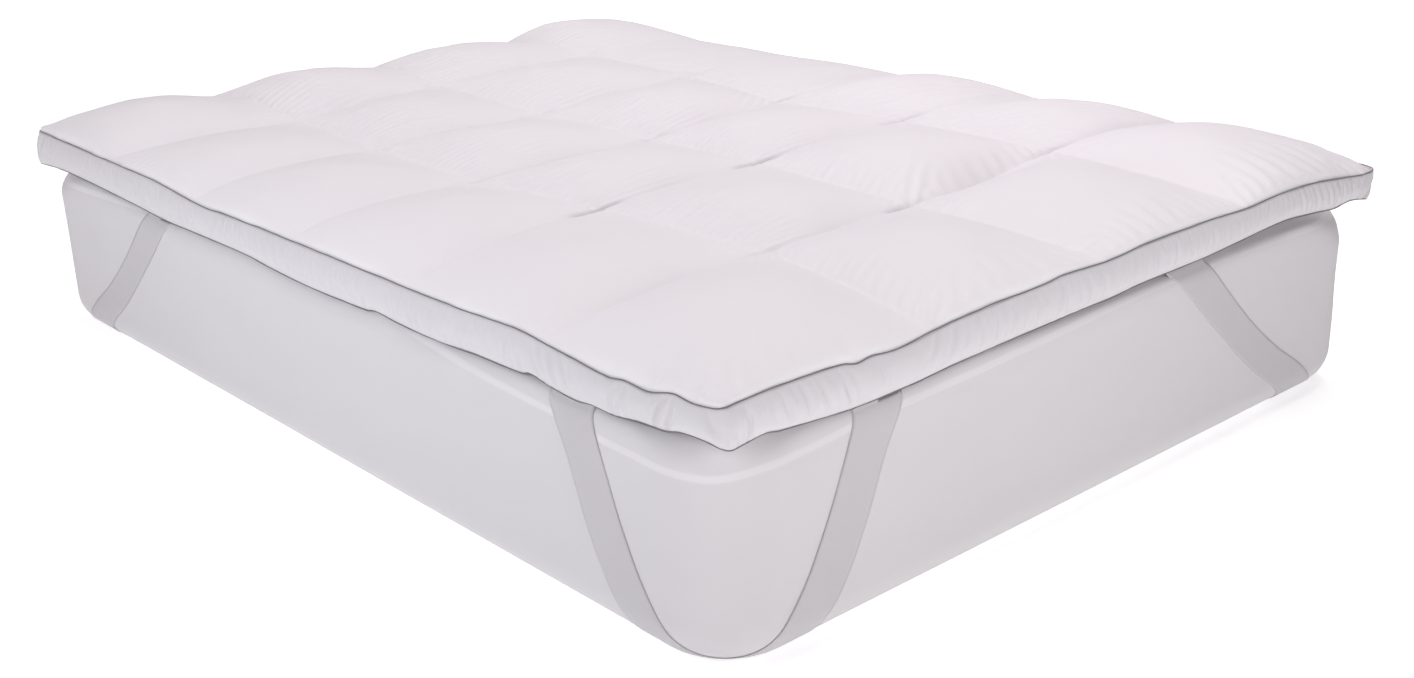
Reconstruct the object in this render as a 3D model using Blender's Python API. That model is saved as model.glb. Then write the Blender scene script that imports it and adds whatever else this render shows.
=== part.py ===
"""Quilted mattress topper with piped sides and corner straps, lying on a plain mattress.

Metres, +Z up. The origin is the middle of the mattress's underside. X runs across the bed,
Y along it, from the foot end (-Y) to the head end (+Y).
"""
import math

import bmesh
import bpy

NAME = "mattress_topper_on_mattress"

# ---------------------------------------------------------------- driving dimensions (m)
PAD_WIDTH = 1.520            # topper, across the bed
PAD_LENGTH = 2.030           # topper, along the bed
SQUARES_ACROSS = 4
SQUARES_ALONG = 6
UPPER_SEAM_Z = 0.3888        # mean height of the upper piping above the floor
CHANNEL_RISE = 0.027         # sewn channels above the upper piping, in the middle of the pad
CHANNEL_REACH = 0.340        # how far in from the edge the channels keep rising
CROWN_POWER = 2.3            # section of one square: flat on top
CROWN_ROUND = 0.73           # section of one square: steep at its channels
SEAM_TUCK = 0.004            # the panels draw in behind the piping by this much
SIDE_PUFF = 0.002            # the sides swell outwards at mid height
UNDERSIDE_GAP = 0.0004       # pad over mattress

MATTRESS_WIDTH = 1.538
MATTRESS_LENGTH = 2.043
MATTRESS_HEIGHT = 0.330
MATTRESS_CORNER_R = 0.125    # upright corners
MATTRESS_TOP_R = 0.050
MATTRESS_BOTTOM_R = 0.065

PIPING_R = 0.002
GUSSET_T = 0.0012
GUSSET_GAP = 0.0005          # between the pad's side and the gusset
GUSSET_TO_PIPING = 0.0027    # gusset edge to the middle of the piping

STRAP_T = 0.0012
STRAP_CLEAR = 0.002          # strap to mattress
STRAP_COLUMNS = (0.0, 0.2, 0.4, 0.6, 0.8, 1.0)
RECESS_DEPTH = 0.0035        # dents of the straps in the mattress's underside
RECESS_MARGIN = 0.006

# places of the sections within one square, as fractions of its side
SECTIONS = (0.0, 0.09, 0.27, 0.5, 0.73, 0.91)

# how far each inner channel bows off its straight line at the middle of the bed (m)
BOW_OF_LENGTHWISE_CHANNELS = (0.0, 0.005, -0.010, 0.005, 0.0)
BOW_OF_CROSSWISE_CHANNELS = (0.0, 0.030, 0.035, -0.005, -0.020, -0.015, 0.0)

# filling of the squares: one row per row of squares, foot end first;
# per square, from -X to +X: (crown in mm, place of its top across, place of its top along)
FILLING = (
    ((50, 0.50, 0.50), (48, 0.50, 0.50), (48, 0.48, 0.50), (56, 0.44, 0.46)),
    ((42, 0.47, 0.50), (45, 0.50, 0.52), (45, 0.50, 0.50), (41, 0.54, 0.42)),
    ((42, 0.45, 0.50), (44, 0.50, 0.50), (44, 0.52, 0.50), (40, 0.47, 0.47)),
    ((43, 0.46, 0.53), (42, 0.50, 0.50), (42, 0.50, 0.52), (22, 0.45, 0.56)),
    ((44, 0.45, 0.50), (42, 0.48, 0.50), (38, 0.50, 0.50), (16, 0.42, 0.55)),
    ((47, 0.40, 0.55), (40, 0.41, 0.54), (36, 0.44, 0.51), (42, 0.36, 0.62)),
)

# waviness of the two piped seams, in mm from the mean height of the upper one.
# Per side: (distance along the side in m, upper seam, lower seam)
FOOT_SIDE = (            # from the -X corner to the +X corner
    (0.00, 4, -49), (0.08, 5, -52), (0.22, 0, -65), (0.32, -5, -66), (0.44, 3, -60),
    (0.66, 8, -56), (0.85, 8, -52), (1.04, 9, -50), (1.14, 5, -46), (1.25, 8, -42),
    (1.34, 4, -47), (1.44, -5, -54), (1.52, -9, -60),
)
LEFT_SIDE = (            # from the foot corner to the head corner, at -X
    (0.00, 4, -49), (0.07, 1, -47), (0.14, -8, -56), (0.21, -12, -62), (0.29, -5, -64),
    (0.38, 2, -58), (0.52, -2, -64), (0.69, -5, -68), (0.86, -5, -71), (1.04, -7, -73),
    (1.19, -8, -68), (1.33, -10, -68), (1.50, -1, -70), (1.78, 2, -62), (1.93, 3, -60),
    (2.03, 5, -63),
)
RIGHT_SIDE = (           # from the foot corner to the head corner, at +X
    (0.00, -9, -60), (0.12, -2, -58), (0.30, 4, -55), (0.55, -4, -62), (0.80, 1, -66),
    (1.05, -3, -64), (1.32, 3, -60), (1.58, -2, -65), (1.80, 2, -60), (2.03, -2, -60),
)
HEAD_SIDE = (            # from the -X corner to the +X corner
    (0.00, 5, -63), (0.20, 0, -60), (0.45, 4, -64), (0.74, -3, -62), (1.00, 3, -58),
    (1.26, -2, -63), (1.52, -2, -60),
)

# edges of a strap on the side of the mattress. Columns: distance down from where the
# upright face starts, then the near and the far edge, from the corner (m)
STRAP_FOOT = (
    (-0.060, 0.246, 0.343), (-0.030, 0.240, 0.333), (0.000, 0.230, 0.318),
    (0.040, 0.214, 0.298), (0.080, 0.198, 0.282), (0.120, 0.179, 0.266),
    (0.160, 0.158, 0.247), (0.190, 0.138, 0.230), (0.215, 0.118, 0.212),
    (0.246, 0.094, 0.189), (0.280, 0.068, 0.174), (0.317, 0.045, 0.165),
)
STRAP_HEAD = (
    (-0.060, 0.505, 0.605), (-0.030, 0.478, 0.575), (0.000, 0.447, 0.540),
    (0.040, 0.406, 0.498), (0.080, 0.362, 0.453), (0.120, 0.314, 0.408),
    (0.160, 0.260, 0.361), (0.190, 0.213, 0.322), (0.215, 0.178, 0.286),
    (0.246, 0.142, 0.246), (0.280, 0.112, 0.222), (0.317, 0.090, 0.205),
)

HALF_W, HALF_L = PAD_WIDTH / 2, PAD_LENGTH / 2
HALF_MW, HALF_ML = MATTRESS_WIDTH / 2, MATTRESS_LENGTH / 2


# ---------------------------------------------------------------- scene and materials
def clear_scene():
    for ob in list(bpy.data.objects):
        bpy.data.objects.remove(ob, do_unlink=True)


def collection(name):
    col = bpy.data.collections.new(name)
    bpy.context.scene.collection.children.link(col)
    return col


def material(name, color, roughness, metallic=0.0):
    mat = bpy.data.materials.new(name)
    mat.use_nodes = True
    bsdf = mat.node_tree.nodes["Principled BSDF"]
    bsdf.inputs["Base Color"].default_value = (*color, 1.0)
    bsdf.inputs["Roughness"].default_value = roughness
    bsdf.inputs["Metallic"].default_value = metallic
    return mat


def add_object(name, bm, mat, col, smooth_angle=50.0):
    bmesh.ops.recalc_face_normals(bm, faces=bm.faces[:])
    mesh = bpy.data.meshes.new(name)
    bm.to_mesh(mesh)
    bm.free()
    mesh.materials.append(mat)
    mesh.shade_smooth()
    mesh.set_sharp_from_angle(angle=math.radians(smooth_angle))
    ob = bpy.data.objects.new(name, mesh)
    col.objects.link(ob)
    return ob


# ---------------------------------------------------------------- curves through tables
def smooth_row(table, t):
    """Values of a table's other columns at t in its first column, on a smooth curve."""
    n = len(table)
    t = min(max(t, table[0][0]), table[-1][0])
    k = 0
    while k < n - 2 and t > table[k + 1][0]:
        k += 1
    t0, t1 = table[k][0], table[k + 1][0]
    h = t1 - t0
    f = (t - t0) / h
    out = []
    for c in range(1, len(table[0])):
        p0, p1 = table[k][c], table[k + 1][c]
        m0 = ((p1 - table[k - 1][c]) / (t1 - table[k - 1][0]) if k > 0 else (p1 - p0) / h)
        m1 = ((table[k + 2][c] - p0) / (table[k + 2][0] - t0) if k < n - 2 else (p1 - p0) / h)
        out.append((2 * f**3 - 3 * f**2 + 1) * p0 + (f**3 - 2 * f**2 + f) * h * m0
                   + (-2 * f**3 + 3 * f**2) * p1 + (f**3 - f**2) * h * m1)
    return out


def seam_heights(side, along):
    """Heights of the upper and the lower piping at a distance along one side."""
    upper, lower = smooth_row(side, along)
    return UPPER_SEAM_Z + upper / 1000, UPPER_SEAM_Z + lower / 1000


# ---------------------------------------------------------------- mattress surface
def inside_depth(x, y):
    """Distance from a point in plan to the mattress's outline, positive inside."""
    qx = abs(x) - (HALF_MW - MATTRESS_CORNER_R)
    qy = abs(y) - (HALF_ML - MATTRESS_CORNER_R)
    return MATTRESS_CORNER_R - (math.hypot(max(qx, 0), max(qy, 0)) + min(max(qx, qy), 0))


def mattress_top(x, y):
    """Height of the mattress's top over a point, or of nothing past its outline."""
    d = inside_depth(x, y)
    if d >= MATTRESS_TOP_R:
        return MATTRESS_HEIGHT
    if d <= 0:
        return 0.0
    return (MATTRESS_HEIGHT - MATTRESS_TOP_R
            + math.sqrt(MATTRESS_TOP_R**2 - (MATTRESS_TOP_R - d)**2))


def around_mattress(u, v, z, off):
    """Carry a point near a bottom corner onto a surface `off` outside the mattress.

    u and v are the distances in from the two upright faces that meet at the corner.
    """
    plate_r = MATTRESS_CORNER_R - MATTRESS_BOTTOM_R
    qu, qv = max(MATTRESS_CORNER_R - u, 0), max(MATTRESS_CORNER_R - v, 0)
    q = math.hypot(qu, qv)
    d2, dz = max(q - plate_r, 0), max(MATTRESS_BOTTOM_R - z, 0)
    dist = math.hypot(d2, dz)
    if dist < 1e-9:
        return u, v, z
    k = (MATTRESS_BOTTOM_R + off) / dist
    if d2 > 0:
        nu, nv = qu / q, qv / q
        u, v = u - nu * d2 * (k - 1), v - nv * d2 * (k - 1)
    z = z if dz == 0 else MATTRESS_BOTTOM_R - dz * k
    return u, v, z


# ---------------------------------------------------------------- topper
def grid_place(i, j):
    """Plan position of the grid point i across and j along, in channel units."""
    u, v = section_value(i), section_value(j)
    x = -HALF_W + u * PAD_WIDTH / SQUARES_ACROSS
    y = -HALF_L + v * PAD_LENGTH / SQUARES_ALONG
    bow_x = between(BOW_OF_LENGTHWISE_CHANNELS, u) * (1 - (y / HALF_L)**2)
    bow_y = between(BOW_OF_CROSSWISE_CHANNELS, v) * (1 - (x / HALF_W)**2)
    return x + bow_x, y + bow_y


def section_value(i):
    return i // len(SECTIONS) + SECTIONS[i % len(SECTIONS)]


def between(values, t):
    k = min(int(t), len(values) - 2)
    return values[k] + (values[k + 1] - values[k]) * (t - k)


def crown_section(f, top):
    """Section of one square from channel to channel, its top at the fraction `top`."""
    f = min(max(f, 0.0), 1.0) ** (math.log(0.5) / math.log(top))
    return max(1 - abs(2 * f - 1)**CROWN_POWER, 0.0) ** CROWN_ROUND


def top_height(i, j, x, y):
    u, v = section_value(i), section_value(j)
    ix, iy = min(int(u), SQUARES_ACROSS - 1), min(int(v), SQUARES_ALONG - 1)
    crown, top_x, top_y = FILLING[iy][ix]
    rise = CHANNEL_RISE
    for d in (HALF_W - abs(x), HALF_L - abs(y)):
        rise *= 1 - (1 - min(max(d, 0) / CHANNEL_REACH, 1))**2
    z = rise + crown / 1000 * crown_section(u - ix, top_x) * crown_section(v - iy, top_y)
    # near the edge the top follows the waviness of the upper seam
    for d, side, along in ((x + HALF_W, LEFT_SIDE, y + HALF_L),
                           (HALF_W - x, RIGHT_SIDE, y + HALF_L),
                           (y + HALF_L, FOOT_SIDE, x + HALF_W),
                           (HALF_L - y, HEAD_SIDE, x + HALF_W)):
        z += smooth_row(side, along)[0] / 1000 * max(0.0, 1 - d / 0.12)**2
    return UPPER_SEAM_Z + z


def outline():
    """Points round the topper: (grid i, grid j, x, y, outward direction, upper, lower)."""
    nx, ny = SQUARES_ACROSS * len(SECTIONS), SQUARES_ALONG * len(SECTIONS)
    cells = ([(i, 0) for i in range(nx)] + [(nx, j) for j in range(ny)]
             + [(i, ny) for i in range(nx, 0, -1)] + [(0, j) for j in range(ny, 0, -1)])
    pts = []
    for i, j in cells:
        x, y = grid_place(i, j)
        out_x = -1 if i == 0 else 1 if i == nx else 0
        out_y = -1 if j == 0 else 1 if j == ny else 0
        if out_x and out_y:                      # blunt corner
            x, y = x - out_x * 0.003, y - out_y * 0.003
        if out_y == 0:
            up, low = seam_heights(LEFT_SIDE if out_x < 0 else RIGHT_SIDE, y + HALF_L)
        else:
            up, low = seam_heights(FOOT_SIDE if out_y < 0 else HEAD_SIDE, x + HALF_W)
        pts.append((i, j, x, y, (out_x, out_y), up, low))
    return pts


def ring_verts(bm, pts, off, height):
    """One ring of vertices at an outward offset, with height(x, y, upper, lower)."""
    ring = []
    for _, _, x, y, (ox, oy), up, low in pts:
        px, py = x + ox * off, y + oy * off
        ring.append(bm.verts.new((px, py, height(px, py, up, low))))
    return ring


def bridge(bm, a, b, closed=True):
    n = len(a)
    for k in range(n if closed else n - 1):
        m = (k + 1) % n
        bm.faces.new((a[k], a[m], b[m], b[k]))


def build_pad(col, mat, pts):
    bm = bmesh.new()
    top_ring = ring_verts(bm, pts, -SEAM_TUCK, lambda x, y, up, low: up + 0.0005)
    at = {(p[0], p[1]): v for p, v in zip(pts, top_ring)}
    nx, ny = SQUARES_ACROSS * len(SECTIONS), SQUARES_ALONG * len(SECTIONS)
    for i in range(1, nx):
        for j in range(1, ny):
            x, y = grid_place(i, j)
            at[(i, j)] = bm.verts.new((x, y, top_height(i, j, x, y)))
    for i in range(nx):
        for j in range(ny):
            bm.faces.new((at[(i, j)], at[(i + 1, j)], at[(i + 1, j + 1)], at[(i, j + 1)]))

    rest = MATTRESS_HEIGHT + UNDERSIDE_GAP

    def rim(share, clear):
        """Underside between the lower seam and the flat part, clear of the mattress."""
        def height(x, y, up, low):
            return max((low - 0.0005) * (1 - share) + rest * share,
                       mattress_top(x, y) + clear)
        return height

    rings = [
        top_ring,
        ring_verts(bm, pts, 0.0, lambda x, y, up, low: up - 0.0035),
        ring_verts(bm, pts, SIDE_PUFF, lambda x, y, up, low: (up + low) / 2),
        ring_verts(bm, pts, 0.0, lambda x, y, up, low: low + 0.0035),
        ring_verts(bm, pts, -SEAM_TUCK, rim(0.0, 0.0012)),
        ring_verts(bm, pts, -0.018, rim(0.45, 0.0032)),
        ring_verts(bm, pts, -0.038, lambda x, y, up, low: rest),
    ]
    for a, b in zip(rings, rings[1:]):
        bridge(bm, a, b)
    bm.faces.new(rings[-1])
    return add_object("pad", bm, mat, col, 70)


def build_gusset(col, mat, pts):
    bm = bmesh.new()
    levels = (
        (0.0, lambda x, y, up, low: up - GUSSET_TO_PIPING),
        (SIDE_PUFF, lambda x, y, up, low: (up + low) / 2),
        (0.0, lambda x, y, up, low: low + GUSSET_TO_PIPING),
    )
    outer = [ring_verts(bm, pts, off + GUSSET_GAP + GUSSET_T, h) for off, h in levels]
    inner = [ring_verts(bm, pts, off + GUSSET_GAP, h) for off, h in levels]
    for rings in (outer, inner):
        for a, b in zip(rings, rings[1:]):
            bridge(bm, a, b)
    bridge(bm, outer[0], inner[0])
    bridge(bm, outer[-1], inner[-1])
    return add_object("gusset", bm, mat, col, 70)


def build_piping(name, col, mat, pts, which):
    curve = bpy.data.curves.new(name, "CURVE")
    curve.dimensions = "3D"
    curve.bevel_depth = PIPING_R
    curve.bevel_resolution = 1
    curve.use_fill_caps = True
    spline = curve.splines.new("POLY")
    spline.points.add(len(pts) - 1)
    off = GUSSET_GAP + GUSSET_T / 2
    for p, (_, _, x, y, (ox, oy), up, low) in zip(spline.points, pts):
        p.co = (x + ox * off, y + oy * off, up if which == "upper" else low, 1.0)
    spline.use_cyclic_u = True
    curve.materials.append(mat)
    ob = bpy.data.objects.new(name, curve)
    col.objects.link(ob)
    return ob


# ---------------------------------------------------------------- straps
def strap_leg(table, end_in, low_of):
    """Rows of one leg, from its sewn end down to the mattress's flat underside.

    Each row is a list of (distance in from the face, distance from the corner, height)
    from the near edge to the far edge, as a pair of inner and outer points.
    """
    rows = []

    def places(down):
        near, far = smooth_row(table, down)
        return [near + (far - near) * share for share in STRAP_COLUMNS]

    face_top = MATTRESS_HEIGHT - MATTRESS_TOP_R
    rows.append([((end_in + STRAP_T / 2, s, low_of(s) - 0.0012),
                  (end_in - STRAP_T / 2, s, low_of(s) - 0.0012)) for s in places(-0.060)])
    for angle in (34, 17):
        a = math.radians(angle)
        row = []
        for s in places(-MATTRESS_TOP_R * a):
            pair = []
            for off in (STRAP_CLEAR, STRAP_CLEAR + STRAP_T):
                r = MATTRESS_TOP_R + off
                pair.append((MATTRESS_TOP_R - r * math.cos(a), s, face_top + r * math.sin(a)))
            row.append(tuple(pair))
        rows.append(row)
    straight = face_top - MATTRESS_BOTTOM_R
    guides = [(d, 0.0, face_top - d) for d in (0.0, 0.06, 0.12, 0.17, straight)]
    for angle in (70, 50, 32, 16, 0):
        a = math.radians(angle)
        guides.append((straight + MATTRESS_BOTTOM_R * (math.pi / 2 - a),
                       MATTRESS_BOTTOM_R * (1 - math.sin(a)),
                       MATTRESS_BOTTOM_R * (1 - math.cos(a))))
    for down, inward, z in guides:
        rows.append([wrap(inward, s, z) for s in places(down)])
    return rows


def wrap(u, v, z):
    """Inner and outer point of a strap over a place on the mattress."""
    inner = around_mattress(u, v, z, STRAP_CLEAR)
    outer = around_mattress(u, v, z, STRAP_CLEAR + STRAP_T)
    floor = UNDERSIDE_GAP
    return ((inner[0], inner[1], max(inner[2], floor + STRAP_T)),
            (outer[0], outer[1], max(outer[2], floor)))


def build_strap(name, col, mat, table, sx, sy):
    side_x = LEFT_SIDE if sx < 0 else RIGHT_SIDE
    side_y = FOOT_SIDE if sy < 0 else HEAD_SIDE

    def low_x(s):     # lower seam over a leg on an X face, s from the mattress's corner
        y = sy * (HALF_ML - s)
        return seam_heights(side_x, y + HALF_L)[1]

    def low_y(s):
        x = sx * (HALF_MW - s)
        return seam_heights(side_y, x + HALF_W)[1]

    leg_x = strap_leg(table, HALF_MW - HALF_W + SEAM_TUCK + 0.0001, low_x)
    leg_y = strap_leg(table, HALF_ML - HALF_L + SEAM_TUCK + 0.0001, low_y)
    leg_y = [[tuple((p[1], p[0], p[2]) for p in pair) for pair in row] for row in leg_y]
    under = []
    near, far = smooth_row(table, 10.0)
    for t in (0.2, 0.4, 0.6, 0.8):
        row = []
        for share in STRAP_COLUMNS:
            a, b = MATTRESS_BOTTOM_R, near + (far - near) * share
            row.append(wrap(a + (b - a) * t, b + (a - b) * t, 0.0))
        under.append(row)
    rows = leg_x + under + leg_y[::-1]

    bm = bmesh.new()
    last = len(STRAP_COLUMNS) - 1
    grid = []
    for row in rows:
        line = []
        for pair in row:
            line.append([bm.verts.new((sx * (HALF_MW - u), sy * (HALF_ML - v), z))
                         for u, v, z in pair])
        grid.append(line)
    for side in (0, 1):
        for a, b in zip(grid, grid[1:]):
            for k in range(last):
                bm.faces.new((a[k][side], a[k + 1][side], b[k + 1][side], b[k][side]))
    for a, b in zip(grid, grid[1:]):
        for k in (0, last):
            bm.faces.new((a[k][0], a[k][1], b[k][1], b[k][0]))
    for line in (grid[0], grid[-1]):
        for k in range(last):
            bm.faces.new((line[k][0], line[k][1], line[k + 1][1], line[k + 1][0]))
    return add_object(name, bm, mat, col, 60)


# ---------------------------------------------------------------- mattress
def build_mattress(col, cutters, mat):
    bm = bmesh.new()
    bmesh.ops.create_cube(bm, size=1.0)
    bmesh.ops.scale(bm, vec=(MATTRESS_WIDTH, MATTRESS_LENGTH, MATTRESS_HEIGHT), verts=bm.verts[:])
    bmesh.ops.translate(bm, vec=(0, 0, MATTRESS_HEIGHT / 2), verts=bm.verts[:])

    def edges_where(test):
        return [e for e in bm.edges if test(e.verts[0].co, e.verts[1].co)]

    upright = edges_where(lambda a, b: abs(a.z - b.z) > 0.1)
    bmesh.ops.bevel(bm, geom=upright, offset=MATTRESS_CORNER_R, offset_type="OFFSET",
                    segments=9, profile=0.5, affect="EDGES")
    for height, radius, segments in ((MATTRESS_HEIGHT, MATTRESS_TOP_R, 5),
                                     (0.0, MATTRESS_BOTTOM_R, 6)):
        rim = edges_where(lambda a, b: abs(a.z - height) < 1e-5 and abs(b.z - height) < 1e-5)
        bmesh.ops.bevel(bm, geom=rim, offset=radius, offset_type="OFFSET",
                        segments=segments, profile=0.5, affect="EDGES")
    ob = add_object("mattress", bm, mat, col, 40)

    # shallow dents where the straps cross the underside
    for sx, sy, table in STRAP_CORNERS:
        near, far = smooth_row(table, 10.0)
        mid = MATTRESS_BOTTOM_R + (near + far) / 2
        across = (far - near) / math.sqrt(2) + 2 * RECESS_MARGIN
        cut = bmesh.new()
        bmesh.ops.create_cube(cut, size=1.0)
        bmesh.ops.scale(cut, vec=(across, 0.9, 0.02 + RECESS_DEPTH), verts=cut.verts[:])
        mesh = bpy.data.meshes.new("strap_dent")
        cut.to_mesh(mesh)
        cut.free()
        cutter = bpy.data.objects.new("strap_dent", mesh)
        cutters.objects.link(cutter)
        cutter.location = (sx * (HALF_MW - mid / 2), sy * (HALF_ML - mid / 2),
                           (RECESS_DEPTH - 0.02) / 2)
        cutter.rotation_euler = (0, 0, math.radians(45 if sx * sy > 0 else -45))
        cutter.hide_render = True
        cutter.display_type = "WIRE"
        mod = ob.modifiers.new("dent", "BOOLEAN")
        mod.operation = "DIFFERENCE"
        mod.solver = "EXACT"
        mod.object = cutter
    return ob


STRAP_CORNERS = ((-1, -1, STRAP_FOOT), (1, -1, STRAP_HEAD), (-1, 1, STRAP_HEAD), (1, 1, STRAP_HEAD))


def main():
    clear_scene()
    col = collection(NAME)
    cutters = collection("cutters")
    white = material("quilted_cotton", (0.80, 0.78, 0.80), 0.85)
    side = material("side_cotton", (0.74, 0.72, 0.75), 0.85)
    cord = material("grey_piping", (0.11, 0.10, 0.11), 0.70)
    elastic = material("flat_elastic", (0.57, 0.55, 0.57), 0.75)
    ticking = material("mattress_ticking", (0.66, 0.64, 0.66), 0.90)

    pts = outline()
    build_mattress(col, cutters, ticking)
    build_pad(col, white, pts)
    build_gusset(col, side, pts)
    build_piping("piping_upper", col, cord, pts, "upper")
    build_piping("piping_lower", col, cord, pts, "lower")
    names = ("strap_foot_left", "strap_foot_right", "strap_head_left", "strap_head_right")
    for name, (sx, sy, table) in zip(names, STRAP_CORNERS):
        build_strap(name, col, elastic, table, sx, sy)


main()
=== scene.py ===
"""Quilted mattress topper with piped sides and corner straps, on a plain mattress: its looks.

Metres, +Z up, X across the bed, Y along it from the foot end. The origin is the middle of
the mattress's underside.
"""

import math

import bpy
import numpy as np
from mathutils import Matrix


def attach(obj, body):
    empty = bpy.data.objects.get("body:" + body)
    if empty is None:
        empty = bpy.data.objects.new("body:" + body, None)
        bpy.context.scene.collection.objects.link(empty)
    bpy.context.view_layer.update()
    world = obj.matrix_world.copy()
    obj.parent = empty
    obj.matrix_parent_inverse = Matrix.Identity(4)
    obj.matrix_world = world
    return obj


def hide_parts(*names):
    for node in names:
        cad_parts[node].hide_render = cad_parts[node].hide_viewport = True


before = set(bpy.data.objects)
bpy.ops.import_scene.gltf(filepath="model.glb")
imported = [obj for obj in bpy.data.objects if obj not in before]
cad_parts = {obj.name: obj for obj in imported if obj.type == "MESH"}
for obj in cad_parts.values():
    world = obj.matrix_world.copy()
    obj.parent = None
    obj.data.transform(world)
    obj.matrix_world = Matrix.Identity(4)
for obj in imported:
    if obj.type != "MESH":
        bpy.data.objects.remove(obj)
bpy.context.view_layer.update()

# ---------------------------------------------------------------- sizes, as in the CAD model
PAD_W, PAD_L = 1.520, 2.030
HALF_W, HALF_L = PAD_W / 2, PAD_L / 2
ACROSS, ALONG = 4, 6
CELL_W, CELL_L = PAD_W / ACROSS, PAD_L / ALONG
SEAM_Z = 0.3888
CHANNEL_RISE, CHANNEL_REACH, CHANNEL_ROUND = 0.022, 0.340, 0.55
CROWN_POWER, BORDER_ROUND = 2.0, 0.62
BED_W, BED_L, BED_H = 1.538, 2.043, 0.330
BED_CORNER, BED_TOP_R, BED_BOTTOM_R = 0.125, 0.050, 0.065
PIPING_R = 0.0009
STRAP_T, STRAP_CLEAR = 0.0009, 0.0005
FLOOR_GAP = 0.0004

# how far each crossing of seams lies from its regular place, in mm: per crosswise seam from
# the foot, per lengthwise seam from -X: (across, along, up)
CROSSINGS = (
    ((34, 13, 4), (-16, 26, 2), (13, 67, 4)),
    ((3, 28, 5), (-3, 52, 4), (2, 69, 4)),
    ((-25, -6, -4), (-1, 0, -5), (-27, 32, -2)),
    ((-24, -9, -5), (-24, -23, -6), (7, 9, 0)),
    ((4, -35, -8), (-20, 10, -2), (6, 1, 0)),
)
# how far the seams stand up half way between crossings, in mm: crosswise seams per column,
# then lengthwise seams per row
CROSSWISE_LIFT = ((0, -3, -14, 14), (4, 0, 0, 16), (5, 0, 0, 13), (2, 0, 0, 9), (0, 0, 0, 5))
LENGTHWISE_LIFT = ((0, 0, 0, 0, 0, 8), (0, -3, -3, 0, 0, 8), (0, 0, 0, 0, 0, 9))

# per square from -X to +X, foot row first: (crown in mm, place of its top across, along)
FILLING = (
    ((40, 0.50, 0.48), (38, 0.47, 0.48), (40, 0.46, 0.50), (51, 0.38, 0.56)),
    ((28, 0.48, 0.47), (33, 0.45, 0.46), (36, 0.45, 0.42), (41, 0.45, 0.36)),
    ((27, 0.48, 0.47), (33, 0.45, 0.47), (33, 0.45, 0.47), (40, 0.43, 0.54)),
    ((27, 0.48, 0.47), (33, 0.45, 0.47), (32, 0.45, 0.48), (13, 0.43, 0.53)),
    ((29, 0.47, 0.48), (33, 0.45, 0.48), (32, 0.45, 0.48), (5, 0.42, 0.53)),
    ((48, 0.38, 0.50), (43, 0.39, 0.50), (36, 0.41, 0.48), (38, 0.30, 0.70)),
)

# extra cloth gathered along the -X seam of each square, foot row first: (share, reach in m)
GATHERED = (
    ((0.030, 0.09), (0.060, 0.12), (0.060, 0.12), (0.025, 0.07)),
    ((0.030, 0.09), (0.115, 0.20), (0.080, 0.14), (0.030, 0.08)),
    ((0.030, 0.09), (0.160, 0.26), (0.115, 0.20), (0.035, 0.09)),
    ((0.035, 0.10), (0.170, 0.27), (0.160, 0.26), (0.050, 0.12)),
    ((0.050, 0.11), (0.170, 0.27), (0.160, 0.26), (0.090, 0.16)),
    ((0.035, 0.10), (0.160, 0.26), (0.160, 0.25), (0.120, 0.20)),
)

# crossings where the crosswise seam is pulled in tight: (lengthwise seam, crosswise seam),
# then how tightly on its left and on its right
PULLED_IN = (
    ((1, 2), 1.0, 0.9), ((2, 2), 0.8, 1.1), ((2, 1), 1.0, 0.3), ((3, 3), 0.2, 0.7),
    ((3, 2), 0.4, 0.8), ((3, 1), 0.4, 0.6), ((2, 4), 0.4, 0.2), ((2, 3), 0.3, 0.3),
    ((1, 3), 0.2, 0.3), ((1, 1), 0.2, 0.3), ((1, 4), 0.1, 0.2), ((3, 4), 0.2, 0.3),
)

# heights of the piped seams along each side: (distance in m, mm from SEAM_Z)
UPPER = {
    "foot": ((0.00, 3.5), (0.100, 4.8), (0.214, 1.3), (0.241, -4.7), (0.268, -2.2), (0.318, -5.6),
             (0.443, 3.9), (0.630, 6.6), (0.664, 9.7), (0.766, 5.8), (0.852, 9.1), (1.037, 8.8),
             (1.140, 4.5), (1.236, 8.8), (1.343, 4.2), (1.443, -6.2), (1.490, -11.5), (1.52, -9.5)),
    "left": ((0.00, 3.5), (0.041, -0.5), (0.078, 1.6), (0.125, -9.6), (0.173, -8.0), (0.204, -12.0),
             (0.300, -5.0), (0.394, 2.3), (0.441, 1.9), (0.550, -3.0), (0.694, -5.2), (0.864, -5.2),
             (1.187, -8.3), (1.332, -11.0), (1.521, 0.2), (1.700, 1.0), (1.910, 2.5), (2.03, 4.5)),
    "right": ((0.00, -9.5), (0.03, -4), (0.07, 3), (0.12, 6), (0.21, 4), (0.30, 3), (0.41, -1), (0.55, -3), (0.68, 1),
              (0.80, 0), (0.93, 1), (1.05, -3), (1.20, -3), (1.32, -4), (1.45, -9), (1.58, -11),
              (1.80, -12), (1.92, -10), (2.03, -8)),
    "head": ((0.00, 4.5), (0.09, 2), (0.20, 0), (0.33, 5), (0.45, 4), (0.60, -2), (0.74, -3),
             (0.88, 3), (1.00, 3), (1.12, -3), (1.26, -4), (1.40, -6), (1.52, -8)),
}
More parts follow.
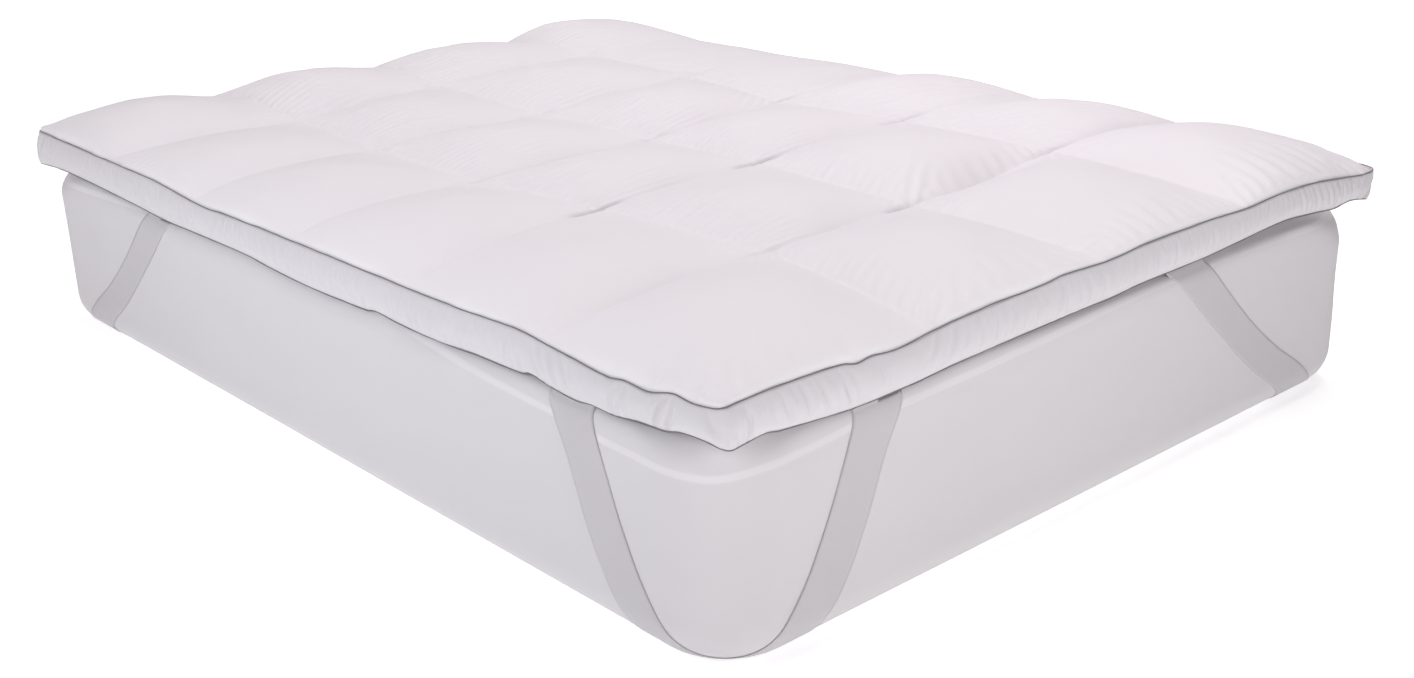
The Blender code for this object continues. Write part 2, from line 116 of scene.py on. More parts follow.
LOWER = {
    "foot": ((0.00, -50.0), (0.045, -53.5), (0.082, -51.6), (0.105, -55.5), (0.223, -65.2),
             (0.336, -65.4), (0.446, -60.4), (0.663, -56.0), (0.794, -54.6), (0.858, -51.3),
             (1.034, -50.3), (1.256, -41.5), (1.333, -47.2), (1.412, -54.9), (1.465, -52.6),
             (1.52, -60.5)),
    "left": ((0.00, -50.0), (0.030, -45.2), (0.066, -46.2), (0.093, -52.4), (0.146, -56.4),
             (0.196, -63.1), (0.240, -62.4), (0.277, -65.5), (0.340, -61.0), (0.374, -54.7),
             (0.395, -60.1), (0.512, -63.5), (0.598, -69.0), (0.700, -68.6), (0.772, -65.7),
             (0.796, -70.0), (0.965, -74.5), (1.067, -72.6), (1.180, -67.2), (1.348, -68.5),
             (1.473, -70.2), (1.620, -65.5), (1.779, -61.0), (1.931, -60.1), (2.03, -64.5)),
    "right": ((0.00, -60.5), (0.12, -58), (0.22, -54), (0.30, -55), (0.42, -61), (0.55, -62),
              (0.68, -68), (0.80, -66), (0.92, -61), (1.05, -64), (1.18, -64), (1.32, -60),
              (1.45, -66), (1.58, -65), (1.70, -59), (1.80, -60), (2.03, -60)),
    "head": ((0.00, -64.5), (0.10, -58), (0.20, -60), (0.33, -66), (0.45, -64), (0.60, -58),
             (0.74, -62), (0.88, -61), (1.00, -58), (1.12, -60), (1.26, -63), (1.40, -57),
             (1.52, -60)),
}

# how far the sewing draws the corners out, in plan: corner, shift in m, reach in m
UPPER_PULLS = (((1, -1), (0.017, -0.003), 0.040), ((-1, -1), (0.004, -0.004), 0.030),
               ((1, 1), (-0.018, 0.010), 0.300))
LOWER_PULLS = (((1, -1), (0.0015, -0.006), 0.035), ((-1, -1), (0.005, -0.011), 0.035),
               ((-1, 1), (-0.0055, 0.009), 0.040), ((1, 1), (-0.006, 0.004), 0.250))

# height of the mattress's taped edge along each side: (distance in m, height in m)
TAPE = {
    "left": ((0.0, 0.2745), (0.066, 0.277), (0.143, 0.282), (0.223, 0.283), (0.37, 0.293), (0.57, 0.304),
             (0.82, 0.321), (1.22, 0.322), (1.567, 0.317), (1.885, 0.304), (2.043, 0.300)),
    "foot": ((0.0, 0.2745), (0.045, 0.279), (0.090, 0.287), (0.178, 0.292), (0.233, 0.296), (0.37, 0.300),
             (0.57, 0.306), (0.85, 0.317), (1.10, 0.320), (1.392, 0.311), (1.538, 0.303)),
    "right": ((0.0, 0.303), (0.4, 0.312), (1.0, 0.318), (1.6, 0.312), (2.043, 0.303)),
    "head": ((0.0, 0.300), (0.4, 0.312), (0.8, 0.318), (1.2, 0.312), (1.538, 0.303)),
}

# edges of a strap on the mattress's side: distance down from where the upright face
# starts, then the near and the far edge, from the corner (m)
STRAP_FOOT = (
    (-0.060, 0.246, 0.343), (-0.030, 0.240, 0.333), (0.000, 0.230, 0.318),
    (0.040, 0.214, 0.298), (0.080, 0.198, 0.282), (0.120, 0.179, 0.266),
    (0.160, 0.158, 0.247), (0.190, 0.138, 0.230), (0.215, 0.118, 0.212),
    (0.246, 0.094, 0.189), (0.280, 0.068, 0.174), (0.317, 0.045, 0.165),
)
STRAP_HEAD = (
    (-0.060, 0.505, 0.605), (-0.030, 0.478, 0.575), (0.000, 0.447, 0.540),
    (0.040, 0.406, 0.498), (0.080, 0.362, 0.453), (0.120, 0.314, 0.408),
    (0.160, 0.260, 0.361), (0.190, 0.213, 0.322), (0.215, 0.178, 0.286),
    (0.246, 0.142, 0.246), (0.280, 0.112, 0.222), (0.317, 0.090, 0.205),
)
STRAPS = (("strap_foot_left", -1, -1, STRAP_FOOT), ("strap_foot_right", 1, -1, STRAP_HEAD),
          ("strap_head_left", -1, 1, STRAP_HEAD), ("strap_head_right", 1, 1, STRAP_HEAD))


# ---------------------------------------------------------------- small tools
def through(table, t):
    """Smooth curve through a table: values of its other columns at t (arrays welcome)."""
    k = np.array(table, float)
    x, y = k[:, 0], k[:, 1:]
    m = np.empty_like(y)
    m[1:-1] = (y[2:] - y[:-2]) / (x[2:] - x[:-2])[:, None]
    m[0] = (y[1] - y[0]) / (x[1] - x[0])
    m[-1] = (y[-1] - y[-2]) / (x[-1] - x[-2])
    t = np.clip(np.asarray(t, float), x[0], x[-1])
    i = np.clip(np.searchsorted(x, t, side="right") - 1, 0, len(x) - 2)
    h = (x[i + 1] - x[i])[..., None]
    f = (t - x[i])[..., None] / h
    return ((2 * f**3 - 3 * f**2 + 1) * y[i] + (f**3 - 2 * f**2 + f) * h * m[i]
            + (-2 * f**3 + 3 * f**2) * y[i + 1] + (f**3 - f**2) * h * m[i + 1])


def seam(which, side, s):
    return SEAM_Z + through(which[side], s)[..., 0] / 1000


def smoothstep(a, b, x):
    t = np.clip((x - a) / (b - a), 0, 1)
    return t * t * (3 - 2 * t)


def wavy(seed, t, length, octaves=3, period=None):
    """Smooth seeded noise along a line, about -1 to 1; closes on itself over a period."""
    rng = np.random.default_rng(seed)
    out, size = np.zeros_like(t, dtype=float), 1.0
    for _ in range(octaves):
        n = max(4, int(round((period if period else (t.max() - t.min() + length)) / length)))
        val = rng.uniform(-1, 1, n + 4)
        if period:
            val[n:] = val[:4]
            p = (t % period) / period * n
        else:
            p = (t - t.min()) / length
        i = np.clip(np.floor(p).astype(int), 0, n + 1)
        f = p - i
        f = f * f * (3 - 2 * f)
        out += size * (val[i] * (1 - f) + val[i + 1] * f)
        length, size = length / 2.1, size * 0.5
    return out


def field(seed, x, y, size, octaves=3, count=256):
    """Smooth seeded noise over a plane, about -1 to 1."""
    rng = np.random.default_rng(seed)
    out, amp = np.zeros_like(x, dtype=float), 1.0
    for _ in range(octaves):
        g = rng.uniform(-1, 1, (count, count))
        px, py = (x / size) % count, (y / size) % count
        i, j = np.floor(px).astype(int) % count, np.floor(py).astype(int) % count
        fx, fy = px - np.floor(px), py - np.floor(py)
        fx, fy = fx * fx * (3 - 2 * fx), fy * fy * (3 - 2 * fy)
        i1, j1 = (i + 1) % count, (j + 1) % count
        out += amp * (g[i, j] * (1 - fx) * (1 - fy) + g[i1, j] * fx * (1 - fy)
                      + g[i, j1] * (1 - fx) * fy + g[i1, j1] * fx * fy)
        size, amp = size / 2.03, amp * 0.5
    return out


def star(seed, x, y, cx, cy, reach):
    """Folds that run out from one point, such as a crossing of seams or a corner."""
    rng = np.random.default_rng(seed)
    dx, dy = x - cx, y - cy
    r, a = np.hypot(dx, dy), np.arctan2(dy, dx)
    s = np.zeros_like(x)
    for k in (6, 10, 15):
        s += rng.uniform(0.5, 1.0) * np.sin(k * a + rng.uniform(0, 6.28) + rng.uniform(-1.5, 1.5) * r / reach)
    return s / 1.5 * smoothstep(0.10 * reach, 0.5 * reach, r) * np.exp(-(r / reach)**2)


def grid_faces(rows, cols, close_cols=False, start=0):
    a = np.arange(rows * cols).reshape(rows, cols) + start
    if close_cols:
        a = np.concatenate([a, a[:, :1]], 1)
    return np.stack([a[:-1, :-1], a[:-1, 1:], a[1:, 1:], a[1:, :-1]], -1).reshape(-1, 4)


def new_mesh(name, verts, quads, extra=(), material=None, smooth=True):
    me = bpy.data.meshes.new(name)
    verts = np.asarray(verts, float).reshape(-1, 3)
    quads = np.asarray(quads, np.int64).reshape(-1, 4)
    extra = [list(map(int, f)) for f in extra]
    loops = np.concatenate([quads.reshape(-1)] + [np.array(f) for f in extra]).astype(np.int32)
    sizes = np.array([4] * len(quads) + [len(f) for f in extra], np.int32)
    me.vertices.add(len(verts))
    me.vertices.foreach_set("co", verts.reshape(-1))
    me.loops.add(len(loops))
    me.loops.foreach_set("vertex_index", loops)
    me.polygons.add(len(sizes))
    me.polygons.foreach_set("loop_start", np.concatenate([[0], np.cumsum(sizes)[:-1]]).astype(np.int32))
    me.polygons.foreach_set("use_smooth", np.full(len(sizes), smooth))
    me.update(calc_edges=True)
    me.validate()
    if material:
        me.materials.append(material)
    ob = bpy.data.objects.new(name, me)
    bpy.context.scene.collection.objects.link(ob)
    return ob


# ---------------------------------------------------------------- camera, light, floor
scene = bpy.context.scene


def make_camera():
    yaw, pitch, roll = 0.715981, 0.360671, -0.0299453
    fw = np.array([math.sin(yaw) * math.cos(pitch), math.cos(yaw) * math.cos(pitch), -math.sin(pitch)])
    rt = np.array([math.cos(yaw), -math.sin(yaw), 0.0])
    up = np.cross(rt, fw)
    rt2 = math.cos(roll) * rt + math.sin(roll) * up
    up2 = -math.sin(roll) * rt + math.cos(roll) * up
    data = bpy.data.cameras.new("camera")
    data.sensor_width = 36.0
    data.lens = 1746.365 / 1414 * 36.0
    data.shift_x = (707 - 699.139) / 1414
    data.shift_y = (334.741 - 339) / 1414
    data.clip_end = 100
    cam = bpy.data.objects.new("camera", data)
    scene.collection.objects.link(cam)
    m = Matrix(((rt2[0], up2[0], -fw[0], -2.02858), (rt2[1], up2[1], -fw[1], -2.44689),
                (rt2[2], up2[2], -fw[2], 1.21018), (0, 0, 0, 1)))
    cam.matrix_world = m
    scene.camera = cam


def area_light(name, place, target, size, power, color):
    data = bpy.data.lights.new(name, "AREA")
    data.shape = "RECTANGLE"
    data.size, data.size_y = size
    data.energy = power
    data.color = color
    ob = bpy.data.objects.new(name, data)
    scene.collection.objects.link(ob)
    d = np.array(place, float) - np.array(target, float)
    d /= np.linalg.norm(d)
    side = np.cross((0, 0, 1), d)
    side = side / np.linalg.norm(side) if np.linalg.norm(side) > 1e-6 else np.array([1.0, 0, 0])
    top = np.cross(d, side)
    ob.matrix_world = Matrix([[side[i], top[i], d[i], place[i]] for i in range(3)] + [[0, 0, 0, 1]])
    return ob


def make_light():
    world = bpy.data.worlds.new("studio")
    scene.world = world
    world.use_nodes = True
    bg = world.node_tree.nodes["Background"]
    bg.inputs["Color"].default_value = (1.0, 1.0, 1.0, 1)
    bg.inputs["Strength"].default_value = 0.0
    area_light("over", (-0.3, 0.3, 3.6), (0, 0, 0.4), (3.6, 4.2), 62, (1.0, 0.938, 0.972))
    area_light("over_right", (1.2, -0.8, 2.4), (0.5, -0.7, 0.4), (1.4, 1.4), 21, (1.0, 0.927, 0.969))
    area_light("over_back", (0.8, 1.2, 2.4), (0.4, 0.6, 0.4), (1.4, 1.4), 6.5, (1.0, 0.949, 0.919))
    area_light("back", (2.6, 2.6, 2.4), (0.3, 0.5, 0.4), (2.0, 1.6), 41.6, (0.968, 0.942, 1.0))
    area_light("left", (-3.8, 0.3, 2.4), (0, 0, 0.4), (2.4, 1.4), 46, (1.0, 0.945, 0.930))
    area_light("front", (-3.2, -3.7, 1.9), (0, 0, 0.3), (2.6, 2.2), 27, (1.0, 0.903, 0.966))
    area_light("side_left", (-2.3, -0.2, 0.9), (-0.7, -0.1, 0.2), (1.2, 0.8), 7.8, (0.76, 0.87, 1.0))
    area_light("side_right", (-0.45, -2.7, 0.9), (-0.2, -1.0, 0.25), (1.2, 0.8), 15, (1.0, 0.997, 0.997))
    scene.view_settings.view_transform = "Standard"
    scene.view_settings.look = "None"


def make_floor():
    mat = bpy.data.materials.new("floor")
    mat.use_nodes = True
    nodes, links = mat.node_tree.nodes, mat.node_tree.links
    b = nodes["Principled BSDF"]
    b.inputs["Base Color"].default_value = (0.92, 0.92, 0.92, 1)
    b.inputs["Roughness"].default_value = 0.95
    b.inputs["Specular IOR Level"].default_value = 0.1
    b.inputs["Emission Color"].default_value = (1, 1, 1, 1)
    # the sweep glows more away from the bed
    coord = nodes.new("ShaderNodeTexCoord")
    far = nodes.new("ShaderNodeVectorMath")
    far.operation = "LENGTH"
    links.new(coord.outputs["Object"], far.inputs[0])
    glow = nodes.new("ShaderNodeMapRange")
    glow.inputs["From Min"].default_value = 1.7
    glow.inputs["From Max"].default_value = 4.0
    glow.inputs["To Min"].default_value = 0.46
    glow.inputs["To Max"].default_value = 0.88
    links.new(far.outputs["Value"], glow.inputs["Value"])
    links.new(glow.outputs["Result"], b.inputs["Emission Strength"])
    n = 2
    xy = np.linspace(-14, 14, n)
    gx, gy = np.meshgrid(xy, xy, indexing="ij")
    ob = new_mesh("floor", np.stack([gx, gy, gx * 0 - 0.0005], -1), grid_faces(n, n)[:, ::-1], material=mat)


# ---------------------------------------------------------------- materials
def paler_where(mat, attribute, color):
    """Give the cloth another colour where the mesh's attribute is 1, as along a sewn-on tape: a paler band that is
    partly the tape's own colour and partly a painted highlight.
    """
    nodes, links = mat.node_tree.nodes, mat.node_tree.links
    base = nodes["Principled BSDF"].inputs["Base Color"]
    where = nodes.new("ShaderNodeAttribute")
    where.attribute_name = attribute
    mix = nodes.new("ShaderNodeMix")
    mix.data_type = "RGBA"
    links.new(where.outputs["Fac"], mix.inputs[0])
    links.new(base.links[0].from_socket, mix.inputs[6])
    mix.inputs[7].default_value = (*color, 1)
    links.new(mix.outputs[2], base)


def cloth_material(name, color, roughness=0.9, weave=900.0, weave_bump=0.05, mottle=0.02,
                   sheen=0.15, crumple=0.0, crumple_scale=60.0, tint=None, tint_scale=2.0):
    mat = bpy.data.materials.new(name)
    mat.use_nodes = True
    nt = mat.node_tree
    nodes, links = nt.nodes, nt.links
    b = nodes["Principled BSDF"]
    b.inputs["Roughness"].default_value = roughness
    b.inputs["Specular IOR Level"].default_value = 0.25
    b.inputs["Sheen Weight"].default_value = sheen
    b.inputs["Sheen Roughness"].default_value = 0.5
    coord = nodes.new("ShaderNodeTexCoord")
    # colour: very soft mottling
    n1 = nodes.new("ShaderNodeTexNoise")
    n1.inputs["Scale"].default_value = tint_scale
    n1.inputs["Detail"].default_value = 4
    links.new(coord.outputs["Object"], n1.inputs["Vector"])
    ramp = nodes.new("ShaderNodeValToRGB")
    lo = tint if tint else tuple(c * (1 - mottle) for c in color)
    ramp.color_ramp.elements[0].position = 0.3
    ramp.color_ramp.elements[1].position = 0.7
    ramp.color_ramp.elements[0].color = (*lo, 1)
    ramp.color_ramp.elements[1].color = (*color, 1)
    links.new(n1.outputs["Fac"], ramp.inputs["Fac"])
    links.new(ramp.outputs["Color"], b.inputs["Base Color"])
    # fine weave: two crossed waves broken by noise
    heights = []
    for axis in ("X", "Y", "Z"):
        w = nodes.new("ShaderNodeTexWave")
        w.wave_type = "BANDS"
        w.bands_direction = axis
        w.inputs["Scale"].default_value = weave
        w.inputs["Distortion"].default_value = 1.5
        w.inputs["Detail"].default_value = 1
        links.new(coord.outputs["Object"], w.inputs["Vector"])
        heights.append(w.outputs["Fac"])
    add1 = nodes.new("ShaderNodeMath")
    add1.operation = "ADD"
    links.new(heights[0], add1.inputs[0])
    links.new(heights[1], add1.inputs[1])
    add2 = nodes.new("ShaderNodeMath")
    add2.operation = "ADD"
    links.new(add1.outputs[0], add2.inputs[0])
    links.new(heights[2], add2.inputs[1])
    bump = nodes.new("ShaderNodeBump")
    bump.inputs["Strength"].default_value = weave_bump
    bump.inputs["Distance"].default_value = 0.0006
    links.new(add2.outputs[0], bump.inputs["Height"])
    last = bump
    if crumple > 0:
        n2 = nodes.new("ShaderNodeTexNoise")
        n2.inputs["Scale"].default_value = crumple_scale
        n2.inputs["Detail"].default_value = 5
        n2.inputs["Roughness"].default_value = 0.55
        links.new(coord.outputs["Object"], n2.inputs["Vector"])
        b2 = nodes.new("ShaderNodeBump")
        b2.inputs["Strength"].default_value = crumple
        b2.inputs["Distance"].default_value = 0.004
        links.new(n2.outputs["Fac"], b2.inputs["Height"])
        links.new(bump.outputs["Normal"], b2.inputs["Normal"])
        last = b2
    links.new(last.outputs["Normal"], b.inputs["Normal"])
    return mat


# ---------------------------------------------------------------- cloth simulation
def pull(a, b, wa, wb, rest, k):
    """Moves the ends of a set of threads, in place, towards their rest length."""
    d = b - a
    length = np.sqrt(np.einsum("...k,...k->...", d, d)) + 1e-12
    total = wa + wb
    share = np.where(total > 0, (length - rest) / (length * np.maximum(total, 1e-6)), 0) * k
    d *= share[..., None]
    a += d * wa[..., None]
    b -= d * wb[..., None]


def cloth(p, held, rest_u, rest_v, filling, steps, bend=0.1, lift=0.05, sink=0.004,
          push=0.0, shear=0.3, momentum=0.85, grip=0.0):
    """Position-based simulation of a cloth that is a grid of threads.

    p is the grid of points; held marks sewn points; rest_u and rest_v are the lengths the
    threads were cut to, longer than the gap they cross where there is fullness; filling is
    the surface that carries the cloth from below, and grip is how firmly the cloth clings
    to it sideways. Returns the settled points.
    """
    p = p.astype(np.float32)
    laid = p[..., :2].copy()
    prev = p.copy()
    w = (~held).astype(np.float32)
    w3 = w[..., None]
    rest_u, rest_v = rest_u.astype(np.float32), rest_v.astype(np.float32)
    hu, hv = 0.5 * (rest_u[:, :-1] + rest_u[:, 1:]), 0.5 * (rest_v[:-1] + rest_v[1:])
    rest_d = np.sqrt(hu**2 + hv**2)
    for _ in range(steps):
        v = (p - prev) * momentum
        prev[...] = p
        p += v * w3
        if filling is not None:
            dz = filling - p[..., 2]
            p[..., 2] += np.where(dz > 0, dz * lift, dz * sink) * w
        if grip:
            p[..., :2] += (laid - p[..., :2]) * (w3 * grip)
        if push:
            du, dv = np.gradient(p, axis=0), np.gradient(p, axis=1)
            n = np.cross(du, dv)
            n /= np.linalg.norm(n, axis=-1, keepdims=True) + 1e-12
            p += n * (push * w3)
        lap = np.zeros_like(p)
        lap[1:-1] += p[2:] + p[:-2] - 2 * p[1:-1]
        lap[:, 1:-1] += p[:, 2:] + p[:, :-2] - 2 * p[:, 1:-1]
        bil = np.zeros_like(p)
        bil[1:-1] += lap[2:] + lap[:-2] - 2 * lap[1:-1]
        bil[:, 1:-1] += lap[:, 2:] + lap[:, :-2] - 2 * lap[:, 1:-1]
        p -= bil * (w3 * bend / 16)
        for k in (0, 1):
            n = rest_u[k::2].shape[0]
            pull(p[k:-1:2][:n], p[k + 1::2][:n], w[k:-1:2][:n], w[k + 1::2][:n], rest_u[k::2], 1.0)
        for k in (0, 1):
            n = rest_v[:, k::2].shape[1]
            pull(p[:, k:-1:2][:, :n], p[:, k + 1::2][:, :n], w[:, k:-1:2][:, :n], w[:, k + 1::2][:, :n],
                 rest_v[:, k::2], 1.0)
        for k in (0, 1):
            n = rest_d[k::2].shape[0]
            pull(p[k:-1:2, :-1][:n], p[k + 1::2, 1:][:n], w[k:-1:2, :-1][:n], w[k + 1::2, 1:][:n],
                 rest_d[k::2], shear)
            pull(p[k:-1:2, 1:][:n], p[k + 1::2, :-1][:n], w[k:-1:2, 1:][:n], w[k + 1::2, :-1][:n],
                 rest_d[k::2], shear)
    return p.astype(float)


def lengths(p):
    return (np.linalg.norm(p[1:] - p[:-1], axis=-1), np.linalg.norm(p[:, 1:] - p[:, :-1], axis=-1))


# ---------------------------------------------------------------- the pad's top
def spaced(squares, per, gather):
    """Grid lines in channel units, closer together beside the channels."""
    t = np.arange(per) / per
    t = t - gather * np.sin(2 * np.pi * t)
    return np.concatenate([t + k for k in range(squares)] + [[squares]])


def off_regular(u, v):
    """How far the sewing is from its regular place at channel coordinates: across, along, up."""
    table = np.zeros((ALONG + 1, ACROSS + 1, 3))
    table[1:ALONG, 1:ACROSS] = np.array(CROSSINGS) / 1000
    iu = np.clip(np.floor(u).astype(int), 0, ACROSS - 1)
    iv = np.clip(np.floor(v).astype(int), 0, ALONG - 1)
    fu, fv = (u - iu)[..., None], (v - iv)[..., None]
    out = ((table[iv, iu] * (1 - fu) + table[iv, iu + 1] * fu) * (1 - fv)
           + (table[iv + 1, iu] * (1 - fu) + table[iv + 1, iu + 1] * fu) * fv)
    return out[..., 0], out[..., 1], out[..., 2]


def plan(u, v):
    dx, dy, _ = off_regular(u, v)
    return -HALF_W + u * PAD_W / ACROSS + dx, -HALF_L + v * PAD_L / ALONG + dy


def section(f, top, before, after):
    """Section of one square, 0 at its seams and 1 at its top; how round each side is."""
    g = np.where(f < top, (top - f) / top, (f - top) / (1 - top))
    return np.maximum(1 - np.clip(g, 0, 1)**CROWN_POWER, 0) ** np.where(f < top, before, after)


def round_corner(x, y, r=0.012):
    qx, qy = r - (HALF_W - np.abs(x)), r - (HALF_L - np.abs(y))
    inside = (qx > 0) & (qy > 0)
    big, dist = np.maximum(qx, qy), np.hypot(qx, qy)
    k = np.where(inside, big / np.maximum(dist, 1e-9), 1.0)
    x2 = np.where(inside, np.sign(x) * (HALF_W - r + qx * k), x)
    y2 = np.where(inside, np.sign(y) * (HALF_L - r + qy * k), y)
    return x2, y2


def corner_pull(x, y, pulls):
    """How far the sewing draws points near the corners out, in plan."""
    dx, dy = np.zeros_like(x), np.zeros_like(y)
    for (sx, sy), (ax, ay), reach in pulls:
        near = np.exp(-((x - sx * HALF_W)**2 + (y - sy * HALF_L)**2) / reach**2)
        dx, dy = dx + ax * near, dy + ay * near
    return dx, dy


def top_surface(u, v):
    """Where the filling holds the cloth up, at channel coordinates u, v."""
    x, y = plan(u, v)
    iu = np.clip(np.floor(u).astype(int), 0, ACROSS - 1)
    iv = np.clip(np.floor(v).astype(int), 0, ALONG - 1)
    table = np.array(FILLING)
    crown, tx, ty = (table[iv, iu, c] for c in range(3))
    rise = CHANNEL_RISE + off_regular(u, v)[2]
    for d in (HALF_W - np.abs(x), HALF_L - np.abs(y)):
        rise = rise * (1 - (1 - np.clip(d / CHANNEL_REACH, 0, 1))**2)**CHANNEL_ROUND
    fu, fv = np.clip(u - iu, 0, 1), np.clip(v - iv, 0, 1)
    full = (section(fu, tx, np.where(iu == 0, BORDER_ROUND, 1.0), np.where(iu == ACROSS - 1, BORDER_ROUND, 1.0))
            * section(fv, ty, np.where(iv == 0, BORDER_ROUND, 1.0), np.where(iv == ALONG - 1, BORDER_ROUND, 1.0)))
    z = rise + crown / 1000 * full
    # the filling shifts about in each square
    z = z + 0.0021 * field(9, x, y, 0.072, 2) * full
    # half way between crossings the filling lifts or drops the seams a little
    rows, cols = np.arange(ALONG + 1), np.arange(ACROSS + 1)
    near_row, near_col = np.rint(v).astype(int), np.rint(u).astype(int)
    cross, length = np.zeros((ALONG + 1, ACROSS)), np.zeros((ACROSS + 1, ALONG))
    cross[1:ALONG], length[1:ACROSS] = CROSSWISE_LIFT, LENGTHWISE_LIFT
    dv, du = (v - rows[near_row]) * CELL_L, (u - cols[near_col]) * CELL_W
    z = z + 0.001 * cross[near_row, iu] * np.sin(np.pi * fu)**1.3 * np.exp(-(dv / 0.045)**2)
    z = z + 0.001 * length[near_col, iv] * np.sin(np.pi * fv)**1.3 * np.exp(-(du / 0.045)**2)
    for (i, j), left, right in PULLED_IN:
        a, b = (u - i) * CELL_W, (v - j) * CELL_L
        tight = left + (right - left) * smoothstep(-0.02, 0.02, a)
        z = z - tight * (0.007 * np.exp(-(a / 0.060)**2 - (b / 0.014)**2)
                         + 0.012 * np.exp(-(a / 0.050)**4 - (b / 0.0050)**2))
    for d, side, s in ((x + HALF_W, "left", y + HALF_L), (HALF_W - x, "right", y + HALF_L),
                       (y + HALF_L, "foot", x + HALF_W), (HALF_L - y, "head", x + HALF_W)):
        z = z + through(UPPER[side], s)[..., 0] / 1000 * np.maximum(0, 1 - d / 0.12)**2
    return x, y, SEAM_Z + z


def near(d, reach, power=1.2):
    return np.clip(1 - d / reach, 0, 1)**power


def fading(d, reach):
    """From nothing at a seam, quickly to full, then slowly to nothing."""
    return smoothstep(0, 0.012, d) * np.exp(-(d / reach)**2)


